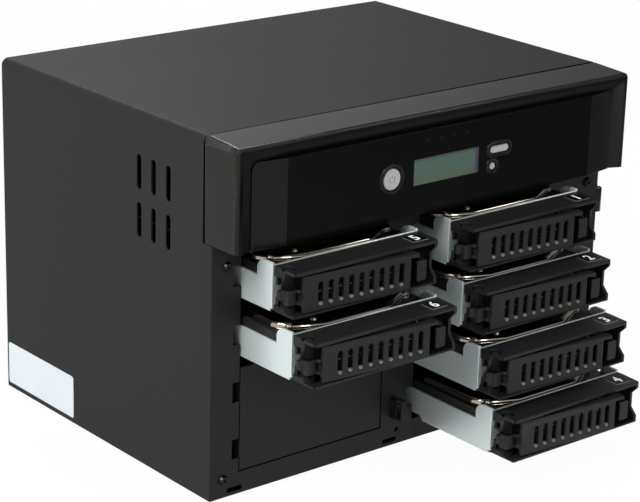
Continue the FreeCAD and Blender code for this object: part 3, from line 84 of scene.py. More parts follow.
# The trays: column, row counted from the lowest, and how far each stands out.
COLUMN_X = {"left": -129.2, "right": 1.4}
TRAY_HOME = -86.0
TRAY_BASE = 17.5
TRAY_PITCH = 34.4
TRAYS = {
    1: ("right", 3, 35.0),
    2: ("right", 2, 48.5),
    3: ("right", 1, 65.0),
    4: ("right", 0, 78.0),
    5: ("left", 3, 37.0),
    6: ("left", 2, 55.0),
}
LID_BASE = 22.95
LID_LEFT = 4.0
LID_FRONT = 4.6
LID_BEND = 9.2
FRONT_TOP = 26.5


def tray_corner(number):
    """The left, front, lower corner of a tray's steel."""
    column, level, pull = TRAYS[number]
    return Vector((COLUMN_X[column], TRAY_HOME - pull, TRAY_BASE + level * TRAY_PITCH))


# Node helpers

# The mix node's sockets share their names, so those for colours and for plain values go by number.
COLOUR_A = 6
COLOUR_B = 7
COLOUR_OUT = 2
VALUE_A = 2
VALUE_B = 3
VALUE_OUT = 0
WHITE = (1, 1, 1, 1)


def linear(code):
    """The linear colour of an sRGB hex value, by the standard's own formula."""
    channels = [int(code[place:place + 2], 16) / 255 for place in (1, 3, 5)]
    return [c / 12.92 if c <= 0.04045 else ((c + 0.055) / 1.055) ** 2.4 for c in channels] + [1.0]


def add(tree, kind, inputs=None, **settings):
    """Adds a node with its settings. Each input is a value, a hex colour or the socket that feeds it."""
    node = tree.nodes.new(kind)
    for name, value in settings.items():
        setattr(node, name, value)
    for name, source in (inputs or {}).items():
        socket = node.inputs[name]
        if isinstance(source, bpy.types.NodeSocket):
            tree.links.new(source, socket)
        elif isinstance(source, str):
            socket.default_value = linear(source)
        else:
            socket.default_value = source
    return node


def reckon(tree, operation, *operands):
    """The result of an arithmetic operation."""
    return add(tree, "ShaderNodeMath", dict(enumerate(operands)), operation=operation).outputs[0]


def vector_of(tree, **axes):
    """A vector with the given X, Y and Z, each nought where it isn't given."""
    return add(tree, "ShaderNodeCombineXYZ", axes).outputs["Vector"]


def ramp(tree, value, start, end, first=0.0, last=1.0):
    """Goes from first to last, and no further, while the value goes from start to end."""
    span = {"Value": value, "From Min": start, "From Max": end, "To Min": first, "To Max": last}
    return add(tree, "ShaderNodeMapRange", span).outputs["Result"]


def choose(tree, share, first, second):
    """A value between two, by the share of the second."""
    return add(tree, "ShaderNodeMix", {0: share, VALUE_A: first, VALUE_B: second}).outputs[VALUE_OUT]


def blend(tree, share, first, second, kind="MIX"):
    """A colour between two, by the share of the second."""
    inputs = {0: share, COLOUR_A: first, COLOUR_B: second}
    return add(tree, "ShaderNodeMix", inputs, data_type="RGBA", blend_type=kind).outputs[COLOUR_OUT]


# Material helpers
EDGE_ROUND = 0.4
EDGE_SAMPLES = 6
EDGE_TURN = (0.995, 0.85)
EDGE_WEAR_AND_SHEEN = 0.8


def per_mm(size):
    """The scale of a pattern whose marks are this many millimetres across."""
    return 1 / (size * MM)


def empty_material(name):
    """A material without nodes, and its tree."""
    material = bpy.data.materials.new(name)
    material.use_nodes = True
    material.node_tree.nodes.clear()
    return material, material.node_tree


def object_place(tree):
    """Where a point of the surface lies in the piece's own axes."""
    return add(tree, "ShaderNodeTexCoord").outputs["Object"]


def object_axes(tree):
    """The X, Y and Z of a point of the surface in the piece's own axes."""
    return add(tree, "ShaderNodeSeparateXYZ", {"Vector": object_place(tree)}).outputs


def noise(tree, places, size, detail):
    """Noise whose marks are this many millimetres across."""
    inputs = {"Vector": places, "Scale": per_mm(size), "Detail": detail}
    return add(tree, "ShaderNodeTexNoise", inputs).outputs["Fac"]


def drift(tree, value, rough, share):
    """A roughness that drifts up and down by a share of itself."""
    return ramp(tree, value, 0.0, 1.0, rough * (1 - share), rough * (1 + share))


def soft_normal(tree):
    """The normal of a surface whose edges catch the light as if rounded by EDGE_ROUND."""
    return add(tree, "ShaderNodeBevel", {"Radius": EDGE_ROUND * MM}, samples=EDGE_SAMPLES).outputs["Normal"]


def edge_mask(tree, softened):
    """Up to EDGE_WEAR_AND_SHEEN on the edges, where the softened normal leaves the face's own."""
    flat = add(tree, "ShaderNodeNewGeometry").outputs["Normal"]
    turn = add(tree, "ShaderNodeVectorMath", {0: softened, 1: flat}, operation="DOT_PRODUCT").outputs["Value"]
    return ramp(tree, turn, *EDGE_TURN, last=EDGE_WEAR_AND_SHEEN)


def relief(tree, height, depth, **others):
    """The normal of a surface with marks of this depth, over the Normal among the others."""
    inputs = {"Height": height, "Strength": 1.0, "Distance": depth * MM, **others}
    return add(tree, "ShaderNodeBump", inputs).outputs["Normal"]


def coat(tree, inputs):
    """Ends a material with a shader that has these inputs."""
    shader = add(tree, "ShaderNodeBsdfPrincipled", inputs).outputs["BSDF"]
    add(tree, "ShaderNodeOutputMaterial", {"Surface": shader})


def finish(name, colours, grain, depth, rough, blotch, worn_and_sheen=None, specular=0.5, metallic=0.0):
    """A finish whose colour drifts between two close tones, over a fine grain.

    grain is the width of the surface's marks and depth their height. blotch is the width of the patches
    in which colour and roughness drift. worn is the tone of the edges: where handling rubs them, and a
    painted highlight on them as well.
    """
    material, tree = empty_material(name)
    places = object_place(tree)
    patches = noise(tree, places, blotch, detail=3.0)
    colour = blend(tree, patches, *colours)
    softened = soft_normal(tree)
    # Pale edges: the rub of handling and a painted highlight.
    if worn_and_sheen:
        colour = blend(tree, edge_mask(tree, softened), colour, worn_and_sheen)
    gloss = drift(tree, patches, rough, share=0.06)
    bump = relief(tree, noise(tree, places, grain, detail=2.0), depth, Normal=softened)
    coat(tree, {
        "Base Color": colour, "Roughness": gloss, "Normal": bump, "Specular IOR Level": specular,
        "Metallic": metallic,
    })
    return material


def zinc_plated_sheet(name, colours, rough, metallic):
    """Sheet steel with a zinc plate: faint rolling lines along the sheet and soft clouds. The passivated
    skin of the plate scatters a share of the light, and its folds and edges carry a painted highlight."""
    material, tree = empty_material(name)
    places = object_place(tree)
    colour = blend(tree, noise(tree, places, size=30, detail=4.0), *colours)
    along = {"Vector": places, "Scale": (1.0, 0.02, 1.0)}
    stretched = add(tree, "ShaderNodeMapping", along).outputs["Vector"]
    lines = noise(tree, stretched, size=0.6, detail=2.0)
    softened = soft_normal(tree)
    # Painted highlight: near-white folds and edges.
    colour = blend(tree, edge_mask(tree, softened), colour, "#f6f9f8")
    coat(tree, {
        "Base Color": colour, "Roughness": drift(tree, lines, rough, share=0.2), "Metallic": metallic,
        "Normal": relief(tree, lines, depth=0.004, Normal=softened),
    })
    return material


DISPLAY_FOOT = (172.3 * MM, 178.0 * MM)
DISPLAY_END = (21.6 * MM, 23.4 * MM)
DISPLAY_BROW = (185.6 * MM, 187.8 * MM)
BROW_SHADE = 0.75
CELL_SHADE = 0.6


def liquid_crystal(name):
    """A reflective liquid-crystal display behind glass: grey-green, yellower at its foot, violet where
    the polarising film ends at the right, and with painted shade under the window's upper edge."""
    material, tree = empty_material(name)
    axes = object_axes(tree)
    colour = blend(tree, ramp(tree, axes["Z"], *DISPLAY_FOOT), "#56654f", "#526960")
    colour = blend(tree, ramp(tree, axes["X"], *DISPLAY_END), colour, "#4c4052")
    # Painted shade under the window's upper edge.
    colour = blend(tree, ramp(tree, axes["Z"], *DISPLAY_BROW, last=BROW_SHADE), colour, "#3d3c40")
    standing = {"Vector": object_place(tree), "Rotation": (math.pi / 2, 0.0, 0.0)}
    cells = add(tree, "ShaderNodeTexBrick", {
        "Vector": add(tree, "ShaderNodeMapping", standing).outputs["Vector"],
        "Color1": WHITE, "Color2": (0.96, 0.96, 0.96, 1), "Mortar": (0.9, 0.9, 0.9, 1),
        "Scale": per_mm(1.0), "Mortar Size": 0.04, "Brick Width": 0.55, "Row Height": 0.55,
    }, offset=0.0).outputs["Color"]
    shaded = blend(tree, CELL_SHADE, colour, cells, "MULTIPLY")
    coat(tree, {"Base Color": shaded, "Roughness": 0.25, "Specular IOR Level": 0.15})
    return material


TRACE_EDGE = (0.46, 0.54)


def circuit_board(name):
    """Glass-fibre board under green solder mask: traces a shade lighter than the ground."""
    material, tree = empty_material(name)
    swirl = {"Vector": object_place(tree), "Scale": per_mm(24), "Distortion": 9.0, "Detail": 1.0}
    traces = ramp(tree, add(tree, "ShaderNodeTexWave", swirl).outputs["Fac"], *TRACE_EDGE)
    colour = blend(tree, traces, "#1d4a2f", "#2b6340")
    coat(tree, {"Base Color": colour, "Roughness": 0.35, "Normal": relief(tree, traces, depth=0.03)})
    return material


def shaded_front(material, limit, tone):
    """Paints shade into a finish: another tone in front of a plane across the depth."""
    tree = material.node_tree
    shader = next(node for node in tree.nodes if node.type == "BSDF_PRINCIPLED")
    colour = shader.inputs["Base Color"].links[0].from_socket
    before = reckon(tree, "LESS_THAN", object_axes(tree)["Y"], limit * MM)
    tree.links.new(blend(tree, before, colour, tone), shader.inputs["Base Color"])


# Materials

# Polyester powder coat on sheet steel: a satin skin with a fine orange peel.
cover_coat = finish(
    "powder_coat_satin_black", ("#282828", "#2a2a2a"), grain=0.9, depth=0.012, rough=0.5, blotch=60.0,
    worn_and_sheen="#3c3c3c", specular=0.075,
)
# Painted shade on the cut edge of the cover's sheet, in the seam.
shaded_front(cover_coat, SEAM_Y + NEAR_SEAM, "#060606")
# The same coat on the front panel, a little darker and smoother.
panel_coat = finish(
    "powder_coat_front_black", ("#1d1d1c", "#20201e"), grain=0.7, depth=0.010, rough=0.5, blotch=50.0,
    worn_and_sheen="#2e2e2c", specular=0.15,
)
# Spark-textured ABS of the head: satin, with a grain too fine to see as marks.
head_abs = finish(
    "abs_head_satin", ("#232322", "#262524"), grain=0.5, depth=0.003, rough=0.17, blotch=45.0,
    worn_and_sheen="#3c3c3a", specular=0.11,
)
# The same ABS along the head's front edges, painted pale and glossy as a highlight.
highlight_bead_abs = finish(
    "abs_head_painted_highlight", ("#7e7e7c", "#8c8c8a"), grain=0.5, depth=0.003, rough=0.2, blotch=12.0, specular=0.4
)
# The same ABS on the head's front rim and in its recess, darkened to nearly black: painted shade.
rim_shade_abs = finish(
    "abs_head_rim_painted_shade", ("#10100f", "#131311"), grain=0.5, depth=0.004, rough=0.3, blotch=45.0,
    worn_and_sheen="#34342f", specular=0.05,
)
# Polished acrylic, black right through: almost no colour of its own, with a slight haze.
window_acrylic = finish(
    "acrylic_gloss_black", ("#0b0b0a", "#0d0d0c"), grain=6.0, depth=0.001, rough=0.1, blotch=70.0,
    worn_and_sheen="#3c3c38", specular=0.04,
)
# The window's bevelled ends, where the polish throws back more of the room, a shade lighter as painted
# reflection and with pale edges as a painted highlight.
window_bevel = finish(
    "acrylic_bevel_black", ("#100f0e", "#121110"), grain=6.0, depth=0.001, rough=0.16, blotch=70.0,
    worn_and_sheen="#6a6a64", specular=0.14,
)
# Moulded ABS of the tray fronts and levers: satin black, grey along the edges, rubbed by handling and painted
# as a highlight.
tray_abs = finish(
    "abs_tray_black", ("#1b1b1b", "#1f1f1f"), grain=0.45, depth=0.008, rough=0.36, blotch=25.0,
    worn_and_sheen="#404040", specular=0.2,
)
# The same ABS at the lower ends of the slots, painted pale as a glint where the rounded ends catch the light.
slot_glint_abs = finish(
    "abs_tray_painted_glint", ("#6a6a6a", "#767676"), grain=0.6, depth=0.002, rough=0.22, blotch=6.0
)
# A grey rim that shows at the front and left of each number label: a painted highlight on its edges.
label_highlight_rim = finish(
    "label_paper_edge", ("#6c6c6a", "#777775"), grain=0.5, depth=0.004, rough=0.5, blotch=6.0
)
# Black paper labels under a gloss film, which carry the trays' numbers.
number_film = finish(
    "polyester_label_black", ("#0c0c0c", "#101010"), grain=0.8, depth=0.003, rough=0.25, blotch=12.0,
    worn_and_sheen="#2a2a2a", specular=0.1,
)
# Screen-printed white ink: flat, with tiny thin spots.
white_ink = finish("ink_white", ("#fdfdfb", "#f4f4f1"), grain=0.3, depth=0.004, rough=0.55, blotch=4.0)
# Bright blue-white zinc plate on the trays.
tray_zinc = zinc_plated_sheet("zinc_plate_blue_white", ("#d2dedd", "#dee8e7"), rough=0.38, metallic=0.52)
# Galvanised sheet of the power supply, duller than the trays.
supply_zinc = zinc_plated_sheet("galvanised_sheet", ("#a7abab", "#b7bbbb"), rough=0.5, metallic=0.8)
# Painted shade over the supply inside the cabinet, all but its rear plate.
shaded_front(supply_zinc, SUPPLY_PLATE_Y, "#080808")
# Thin black primer on the cage, the deck and the flange under the seam: flat, a little uneven, and darkened
# to near black as painted shade inside the cabinet.
shaded_primer = finish(
    "primer_black_painted_shade", ("#0b0b0b", "#0f0f0f"), grain=0.8, depth=0.010, rough=0.9, blotch=35.0,
    specular=0.04,
)
# Nickel-plated stamped lid: a brownish mirror with a slight wave.
lid_nickel = finish(
    "nickel_plate_lid", ("#a09688", "#aca294"), grain=9.0, depth=0.006, rough=0.12, blotch=30.0,
    metallic=1.0,
)
# Cast aluminium under black electro-coat: dull, with the grain of the die.
drive_casting = finish(
    "cast_aluminium_black_coat", ("#151515", "#1d1d1c"), grain=0.6, depth=0.020, rough=0.45, blotch=20.0,
    specular=0.4,
)
# Polished black ABS of the rings around the buttons and the caps over the lever pins: only lamps show in it.
# The caps also darken the pins' dishes, a painted shade.
ring_gloss = finish(
    "abs_gloss_black", ("#0b0b0a", "#0d0d0c"), grain=2.0, depth=0.0, rough=0.04, blotch=8.0, specular=0.2
)
# Bright steel wire of the finger guards.
guard_wire = finish(
    "nickel_plate_wire", ("#9a9a98", "#abaaa8"), grain=1.2, depth=0.006, rough=0.25, blotch=8.0, metallic=1.0
)
# Nickel-plated screws: bright, with turned marks.
screw_nickel = finish(
    "nickel_plate_screw", ("#8d8b86", "#a3a19b"), grain=0.4, depth=0.010, rough=0.25, blotch=3.0,
    metallic=1.0,
)
# Black-oxide screws on the front and rear: dark metal with a dull gleam.
screw_black = finish(
    "black_oxide_screw", ("#2b2a28", "#373634"), grain=0.4, depth=0.010, rough=0.28, blotch=3.0, metallic=1.0
)
# Light grey ABS of the buttons: an even satin.
button_abs = finish(
    "abs_button_grey", ("#b2b2b1", "#bbbbba"), grain=0.4, depth=0.006, rough=0.38, blotch=10.0, specular=0.4
)
# A darker print on the power button.
symbol_ink = finish("ink_grey", ("#8f8f8f", "#979797"), grain=0.3, depth=0.004, rough=0.5, blotch=4.0)
# Unlit lamp lenses of smoked polycarbonate: dots a shade lighter than the window.
lamp_lens = finish(
    "polycarbonate_smoked", ("#131514", "#171918"), grain=1.0, depth=0.004, rough=0.2, blotch=4.0,
    specular=0.06,
)
# Glass-filled polyester of the fans: dark, with a grainy skin.
fan_polyester = finish(
    "pbt_black", ("#1a1a1a", "#212121"), grain=0.6, depth=0.014, rough=0.45, blotch=22.0, worn_and_sheen="#333333"
)
# Nitrile rubber of the feet: matt black.
foot_rubber = finish(
    "nitrile_rubber_black", ("#141414", "#1c1c1c"), grain=0.5, depth=0.030, rough=0.8, blotch=8.0
)
# Nylon of the mains inlet and the display's housing: a plain dull black.
insert_nylon = finish("nylon_black", ("#111111", "#171717"), grain=0.5, depth=0.010, rough=0.4, blotch=12.0)
# Tin-plated brass of the socket shells: a soft grey metal.
shell_tin = finish(
    "tin_plate", ("#a9a8a2", "#bab9b3"), grain=0.7, depth=0.008, rough=0.3, blotch=6.0, metallic=1.0
)
# Gold flash on the network contacts: a warm gleam inside the sockets.
contact_gold = finish(
    "gold_flash", ("#c9a24b", "#d9b45c"), grain=0.5, depth=0.003, rough=0.25, blotch=3.0, metallic=1.0
)
# Coated paper of the blank sticker: white with a cool cast in patches.
sticker_paper = finish(
    "coated_paper", ("#dfe4e6", "#cfdbe2"), grain=0.8, depth=0.006, rough=0.45, blotch=26.0
)
# Green boards inside, and the display's grey-green face.
board_green = circuit_board("fibre_board_green")
display_glass = liquid_crystal("liquid_crystal_panel")

# Mesh helpers
SHARP_EDGE = math.radians(50)
SHADED_EDGE = math.radians(40)
FLAT_ANGLE = math.radians(0.5)
SOLID_WELD = 0.002
WELD = 0.0005
LONG_EDGE = 4
QUARTERS = ((1, 1), (-1, 1), (-1, -1), (1, -1))
RING_STEPS = 16
FILM_STEPS = 4
SOFT_SHARE = 0.4
BEAD_SIDES = 8
CAP_HEIGHT = 0.7
BOLDNESS = 0.025


def placed(name, data):
    """A new object in the scene."""
    item = bpy.data.objects.new(name, data)
    bpy.context.scene.collection.objects.link(item)
    return item


def flattened(holder):
    """The mesh of an object after its modifiers. The object itself goes."""
    holder_now = holder.evaluated_get(bpy.context.evaluated_depsgraph_get())
    mesh = bpy.data.meshes.new_from_object(holder_now)
    bpy.data.objects.remove(holder)
    return mesh


def wear(mesh, *materials):
    """Gives a mesh these materials and no others."""
    mesh.materials.clear()
    for material in materials:
        mesh.materials.append(material)


def dress(node, material):
    """Gives a solid that is shown as it is its finish."""
    wear(nodes[node].data, material)


def hand_over(name, mesh, body, material=None):
    """Makes a finished mesh a piece of the object, in a material where it has none yet."""
    piece = placed(name, mesh)
    if material:
        wear(mesh, material)
    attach(piece, body)
    return piece


def eased(node, material, width, second=None, chosen=None, adjust=None, split=None):
    """A copy of a solid with its outer edges rounded by width, which takes the plain solid's place.

    The faces whose middles and normals pass the test chosen get the second material. adjust moves the
    corners of the copy before its edges are rounded, after its faces are divided at the x given by split.
    """
    mesh = nodes[node].data.copy()
    wear(mesh, *filter(None, (material, second)))
    work = bmesh.new()
    work.from_mesh(mesh)
    bmesh.ops.remove_doubles(work, verts=work.verts, dist=SOLID_WELD * MM)
    bmesh.ops.dissolve_limit(
        work, angle_limit=FLAT_ANGLE, use_dissolve_boundaries=False, verts=work.verts, edges=work.edges
    )
    if split is not None:
        bmesh.ops.bisect_plane(
            work, geom=work.verts[:] + work.edges[:] + work.faces[:], plane_co=(split * MM, 0, 0),
            plane_no=(1, 0, 0),
        )
    for face in work.faces:
        face.smooth = True
        face.material_index = 1 if chosen and chosen(face.calc_center_median() / MM, face.normal) else 0
    if adjust:
        for vertex in work.verts:
            adjust(vertex.co)
    rounding = work.edges.layers.float.new("bevel_weight_edge")
    for edge in work.edges:
        crest = edge.is_manifold and edge.calc_face_angle_signed() > SHARP_EDGE
        edge[rounding] = 1.0 if crest and edge.calc_length() > LONG_EDGE * width * MM else 0.0
    work.to_mesh(mesh)
    work.free()
    holder = placed(node + "_shape", mesh)
    modifiers = {
        "BEVEL": {"width": width * MM, "segments": 2, "limit_method": "WEIGHT", "use_clamp_overlap": False},
        "WEIGHTED_NORMAL": {"keep_sharp": True, "weight": 80},
    }
    for kind, settings in modifiers.items():
        modifier = holder.modifiers.new(kind.lower(), kind)
        for setting, value in settings.items():
            setattr(modifier, setting, value)
    piece = hand_over(node + "_finished", flattened(holder), BODY_OF[node])
    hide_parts(node)
    return piece


def mesh_of(name, build):
    """A mesh made by a function that works in millimetres on an empty one."""
    work = bmesh.new()
    build(work)
    bmesh.ops.remove_doubles(work, verts=work.verts, dist=WELD)
    bmesh.ops.recalc_face_normals(work, faces=work.faces)
    bmesh.ops.scale(work, vec=(MM, MM, MM), verts=work.verts)
    mesh = bpy.data.meshes.new(name)
    work.to_mesh(mesh)
    work.free()
    mesh.shade_smooth()
    mesh.set_sharp_from_angle(angle=SHADED_EDGE)
    return mesh


def outline(width, height, corner, grow, steps):
    """The points around a plate of that size with rounded corners, grown outwards."""
    points = []
    for quarter, (side, end) in enumerate(QUARTERS):
        for step in range(steps + 1):
            angle = (quarter + step / steps) * math.pi / 2
            points.append((
                side * (width / 2 - corner) + (corner + grow) * math.cos(angle),
                end * (height / 2 - corner) + (corner + grow) * math.sin(angle),
            ))
    return points


def skin(work, loops):
    """Faces from each loop to the next."""
    for lower, upper in zip(loops, loops[1:]):
        for index in range(len(lower)):
            work.faces.new((lower[index - 1], lower[index], upper[index], upper[index - 1]))


def closed_skin(work, loops):
    """Faces from each loop to the next, and one over each end."""
    skin(work, loops)
    work.faces.new(loops[0][::-1])
    work.faces.new(loops[-1])


def front_rim(work, control, profile):
    """A ring around a control on the window. Each profile point is a growth and a distance to the front."""
    x, z, width, height = control
    loops = []
    for grow, out in profile:
        points = outline(width, height, min(width, height) / 2, grow, RING_STEPS)
        loops.append([work.verts.new((x + across, WINDOW_Y - out, z + up)) for across, up in points])
    skin(work, loops + loops[:1])


def film(work, width, height, corner, thick, place):
    """A thin plate with rounded corners and a soft upper edge, laid by a matrix."""
    soft = thick * SOFT_SHARE
    loops = []
    for shrink, level in ((0.0, 0.0), (0.0, thick - soft), (soft, thick)):
        points = outline(width, height, corner, -shrink, FILM_STEPS)
        loops.append([work.verts.new(place @ Vector((across, up, level))) for across, up in points])
    closed_skin(work, loops)


def plate(name, size, place, body, material):
    """A piece that is one film. Its size gives width, height, corner and thickness."""
    mesh = mesh_of(name, lambda work: film(work, *size, place))
    hand_over(name, mesh, body, material)


def edge_line(work, points, radii):
    """A round bead through the points, with its radius at each of them."""
    loops = []
    for index, (point, radius) in enumerate(zip(points, radii)):
        before = Vector(points[max(index - 1, 0)])
        after = Vector(points[min(index + 1, len(points) - 1)])
        turn = (after - before).to_track_quat("Z", "Y").to_matrix()
        loop = []
        for step in range(BEAD_SIDES):
            angle = step / BEAD_SIDES * math.tau
            aside = turn @ Vector((math.cos(angle), math.sin(angle), 0.0)) * radius
            loop.append(work.verts.new(Vector(point) + aside))
        loops.append(loop)
    closed_skin(work, loops)


def lettering(name, text, height, thick, place):
    """A raised figure as a mesh, its middle at the origin of the matrix."""
    curve = bpy.data.curves.new(name, "FONT")
    curve.body = text
    curve.size = height / CAP_HEIGHT * MM
    curve.extrude = thick / 2 * MM
    curve.offset = BOLDNESS * curve.size
    curve.align_x = "CENTER"
    curve.align_y = "CENTER"
    curve.resolution_u = 6
    mesh = flattened(placed(name, curve))
    bpy.data.curves.remove(curve)
    mesh.transform(place)
    return mesh


# Geometry Nodes
CROWN = 0.72
HEAD_RISE = 0.55
RECESS_LONG = 1.05
RECESS_WIDE = 0.32


def tree_with(name, inputs):
    """An empty tree with points, the named inputs and a finish, and the nodes at its two ends."""
    tree = bpy.data.node_groups.new(name, "GeometryNodeTree")
    tree.interface.new_socket("Geometry", in_out="OUTPUT", socket_type="NodeSocketGeometry")
    for label, kind in {"Points": "Geometry", **inputs, "Finish": "Material"}.items():
        tree.interface.new_socket(label, in_out="INPUT", socket_type="NodeSocket" + kind)
    return tree, add(tree, "NodeGroupInput").outputs, add(tree, "NodeGroupOutput")


def on_points(tree, points, instance, **inputs):
    """The instance on every point."""
    inputs = {"Points": points, "Instance": instance, **inputs}
    return add(tree, "GeometryNodeInstanceOnPoints", inputs).outputs["Instances"]


def end_tree(tree, given, end, instances):
    """Ends a tree with its instances, made real and given the finish."""
    real = add(tree, "GeometryNodeRealizeInstances", {"Geometry": instances}).outputs["Geometry"]
    dressed = add(tree, "GeometryNodeSetMaterial", {"Geometry": real, "Material": given["Finish"]})
    tree.links.new(dressed.outputs["Geometry"], end.inputs["Geometry"])
    return tree


def grown(name, tree, points, values):
    """The plain mesh that a tree grows on the points, with its inputs set by their names."""
    mesh = bpy.data.meshes.new(name)
    mesh.from_pydata([Vector(point) * MM for point in points], [], [])
    holder = placed(name, mesh)
    modifier = holder.modifiers.new("grown", "NODES")
    modifier.node_group = tree
    for item in tree.interface.items_tree:
        if item.in_out == "INPUT" and item.name in values:
            modifier[item.identifier] = values[item.name]
    return flattened(holder)


def cross_head_screws():
    """Screw heads with a cross recess on every point, each turned by chance about its own axis."""
    tree, given, end = tree_with("cross_head_screws", {
        "Head Radius": "Float",
        "Head Height": "Float",
        "Recess Length": "Float",
        "Recess Width": "Float",
        "Turn": "Vector",
    })
    head = add(tree, "GeometryNodeMeshCone", {
        "Vertices": 28,
        "Radius Top": reckon(tree, "MULTIPLY", given["Head Radius"], CROWN),
        "Radius Bottom": given["Head Radius"],
        "Depth": given["Head Height"],
    }).outputs["Mesh"]
    cut = add(tree, "GeometryNodeMeshBoolean", {"Mesh 1": head}, operation="DIFFERENCE")
    lift = vector_of(tree, Z=given["Head Height"])
    for across, along in (("Recess Length", "Recess Width"), ("Recess Width", "Recess Length")):
        size = vector_of(tree, X=given[across], Y=given[along], Z=given["Head Height"])
        bar = add(tree, "GeometryNodeMeshCube", {"Size": size}).outputs["Mesh"]
        raised = add(tree, "GeometryNodeTransform", {"Geometry": bar, "Translation": lift})
        tree.links.new(raised.outputs["Geometry"], cut.inputs["Mesh 2"])
    chance = add(
        tree, "FunctionNodeRandomValue", {"Min": (0.0, 0.0, 0.0), "Max": (0.0, 0.0, math.pi), "Seed": 7},
        data_type="FLOAT_VECTOR",
    ).outputs["Value"]
    spin = add(tree, "FunctionNodeEulerToRotation", {"Euler": chance}).outputs["Rotation"]
    lean = add(tree, "FunctionNodeEulerToRotation", {"Euler": given["Turn"]}).outputs["Rotation"]
    turned = add(
        tree, "FunctionNodeRotateRotation", {"Rotation": lean, "Rotate By": spin}, rotation_space="LOCAL"
    ).outputs["Rotation"]
    heads = on_points(tree, given["Points"], cut.outputs["Mesh"], Rotation=turned)
    return end_tree(tree, given, end, heads)


def finger_guard():
    """Wire rings and two cross wires around every point."""
    tree, given, end = tree_with("finger_guard", {
        "First Ring": "Float",
        "Ring Step": "Float",
        "Rings": "Int",
        "Reach": "Float",
        "Wire": "Float",
    })
    stack = {"Count": given["Rings"], "Offset": (0.0, 0.0, 0.0)}
    line = add(tree, "GeometryNodeMeshLine", stack).outputs["Mesh"]
    place = add(tree, "GeometryNodeInputIndex").outputs["Index"]
    steps = reckon(tree, "MULTIPLY_ADD", place, given["Ring Step"], given["First Ring"])
    ring = add(tree, "GeometryNodeCurvePrimitiveCircle", {"Resolution": 72, "Radius": 1.0}).outputs["Curve"]
    rings = on_points(tree, line, ring, Scale=steps)
    far = vector_of(tree, X=given["Reach"])
    near = add(tree, "ShaderNodeVectorMath", {0: far, "Scale": -1.0}, operation="SCALE").outputs["Vector"]
    bar = add(tree, "GeometryNodeCurvePrimitiveLine", {"Start": near, "End": far}).outputs["Curve"]
    quarter_turn = {"Geometry": bar, "Rotation": (0.0, 0.0, math.pi / 2)}
    crossbar = add(tree, "GeometryNodeTransform", quarter_turn).outputs["Geometry"]
    wires = add(tree, "GeometryNodeJoinGeometry")
    for source in (rings, bar, crossbar):
        tree.links.new(source, wires.inputs["Geometry"])
    flat = add(tree, "GeometryNodeRealizeInstances", {"Geometry": wires.outputs["Geometry"]})
    even = add(tree, "GeometryNodeSetCurveRadius", {"Curve": flat.outputs["Geometry"], "Radius": 1.0})
    section = add(tree, "GeometryNodeCurvePrimitiveCircle", {"Resolution": 10, "Radius": given["Wire"]})
    tubes = add(tree, "GeometryNodeCurveToMesh", {
        "Curve": even.outputs["Curve"], "Profile Curve": section.outputs["Curve"], "Fill Caps": True,
    }).outputs["Mesh"]
    standing = {"Geometry": tubes, "Rotation": (math.pi / 2, 0.0, 0.0)}
    upright = add(tree, "GeometryNodeTransform", standing).outputs["Geometry"]
    return end_tree(tree, given, end, on_points(tree, given["Points"], upright))


def contact_rows():
    """A row of thin contact wires at every point, one above the other."""
    tree, given, end = tree_with("contact_rows", {
        "Count": "Int",
        "Pitch": "Float",
        "Wire Size": "Vector",
    })
    step = vector_of(tree, Z=given["Pitch"])
    line = add(tree, "GeometryNodeMeshLine", {"Count": given["Count"], "Offset": step}).outputs["Mesh"]
    wire = add(tree, "GeometryNodeMeshCube", {"Size": given["Wire Size"]}).outputs["Mesh"]
    row = on_points(tree, line, wire)
    return end_tree(tree, given, end, on_points(tree, given["Points"], row))


screw_tree = cross_head_screws()
guard_tree = finger_guard()
contact_tree = contact_rows()


def screws(name, body, points, radius, turn, material):
    """Screw heads that stand on the points with the given turn."""
    mesh = grown(name, screw_tree, points, {
        "Head Radius": radius * MM,
        "Head Height": radius * HEAD_RISE * MM,
        "Recess Length": radius * RECESS_LONG * MM,
        "Recess Width": radius * RECESS_WIDE * MM,
        "Turn": turn,
        "Finish": material,
    })
    hand_over(name, mesh, body)


FACING_FRONT = (math.pi / 2, 0.0, 0.0)
FACING_REAR = (-math.pi / 2, 0.0, 0.0)
FACING_UP = (0.0, 0.0, 0.0)
UPRIGHT = Matrix.Rotation(math.pi / 2, 4, "X")

# The cabinet
CABINET_SCREW = 3.0
FRONT_SCREW_Y = PANEL_Y - 0.4
FRONT_SCREWS = ((139.5, 141.0), (140.9, 14.1))
for node in ("outer_cover", "base_pan", "rear_panel"):
    dress(node, cover_coat)
dress("lower_front_panel", panel_coat)
eased("blank_plate", panel_coat, width=0.4)
eased("door_hinge_lug", head_abs, width=0.4)
eased("latch_keeper", head_abs, width=0.4)
eased("rubber_feet", foot_rubber, width=0.3)
front_spots = [(side * x, FRONT_SCREW_Y, z) for side in (-1, 1) for x, z in FRONT_SCREWS]
screws("front_screws", "chassis", front_spots, CABINET_SCREW, FACING_FRONT, screw_black)

# The blank sticker on the left side, its width along the depth
STICKER = (73.5, 27.0, 1.5, 0.15)
FACING_LEFT = Matrix(((0, 0, -1, 0), (-1, 0, 0, 0), (0, 1, 0, 0), (0, 0, 0, 1)))
on_left_side = Matrix.Translation((-CABINET_WIDTH / 2, 78.7, 19.5)) @ FACING_LEFT
plate("side_sticker", STICKER, on_left_side, "chassis", sticker_paper)

# The head
RIM_Y = -116.9
RECESS_Y = -113.9
RECESS_LEFT = -145.3
RIGHT_SLOPE = 138.5
RECESS_TOP = 208.7
SEAM_LEFT = 0.2
SEAM_OPENING = 2.0
SEAM_SIDE = 1.5
SEAM_CORNER = 5


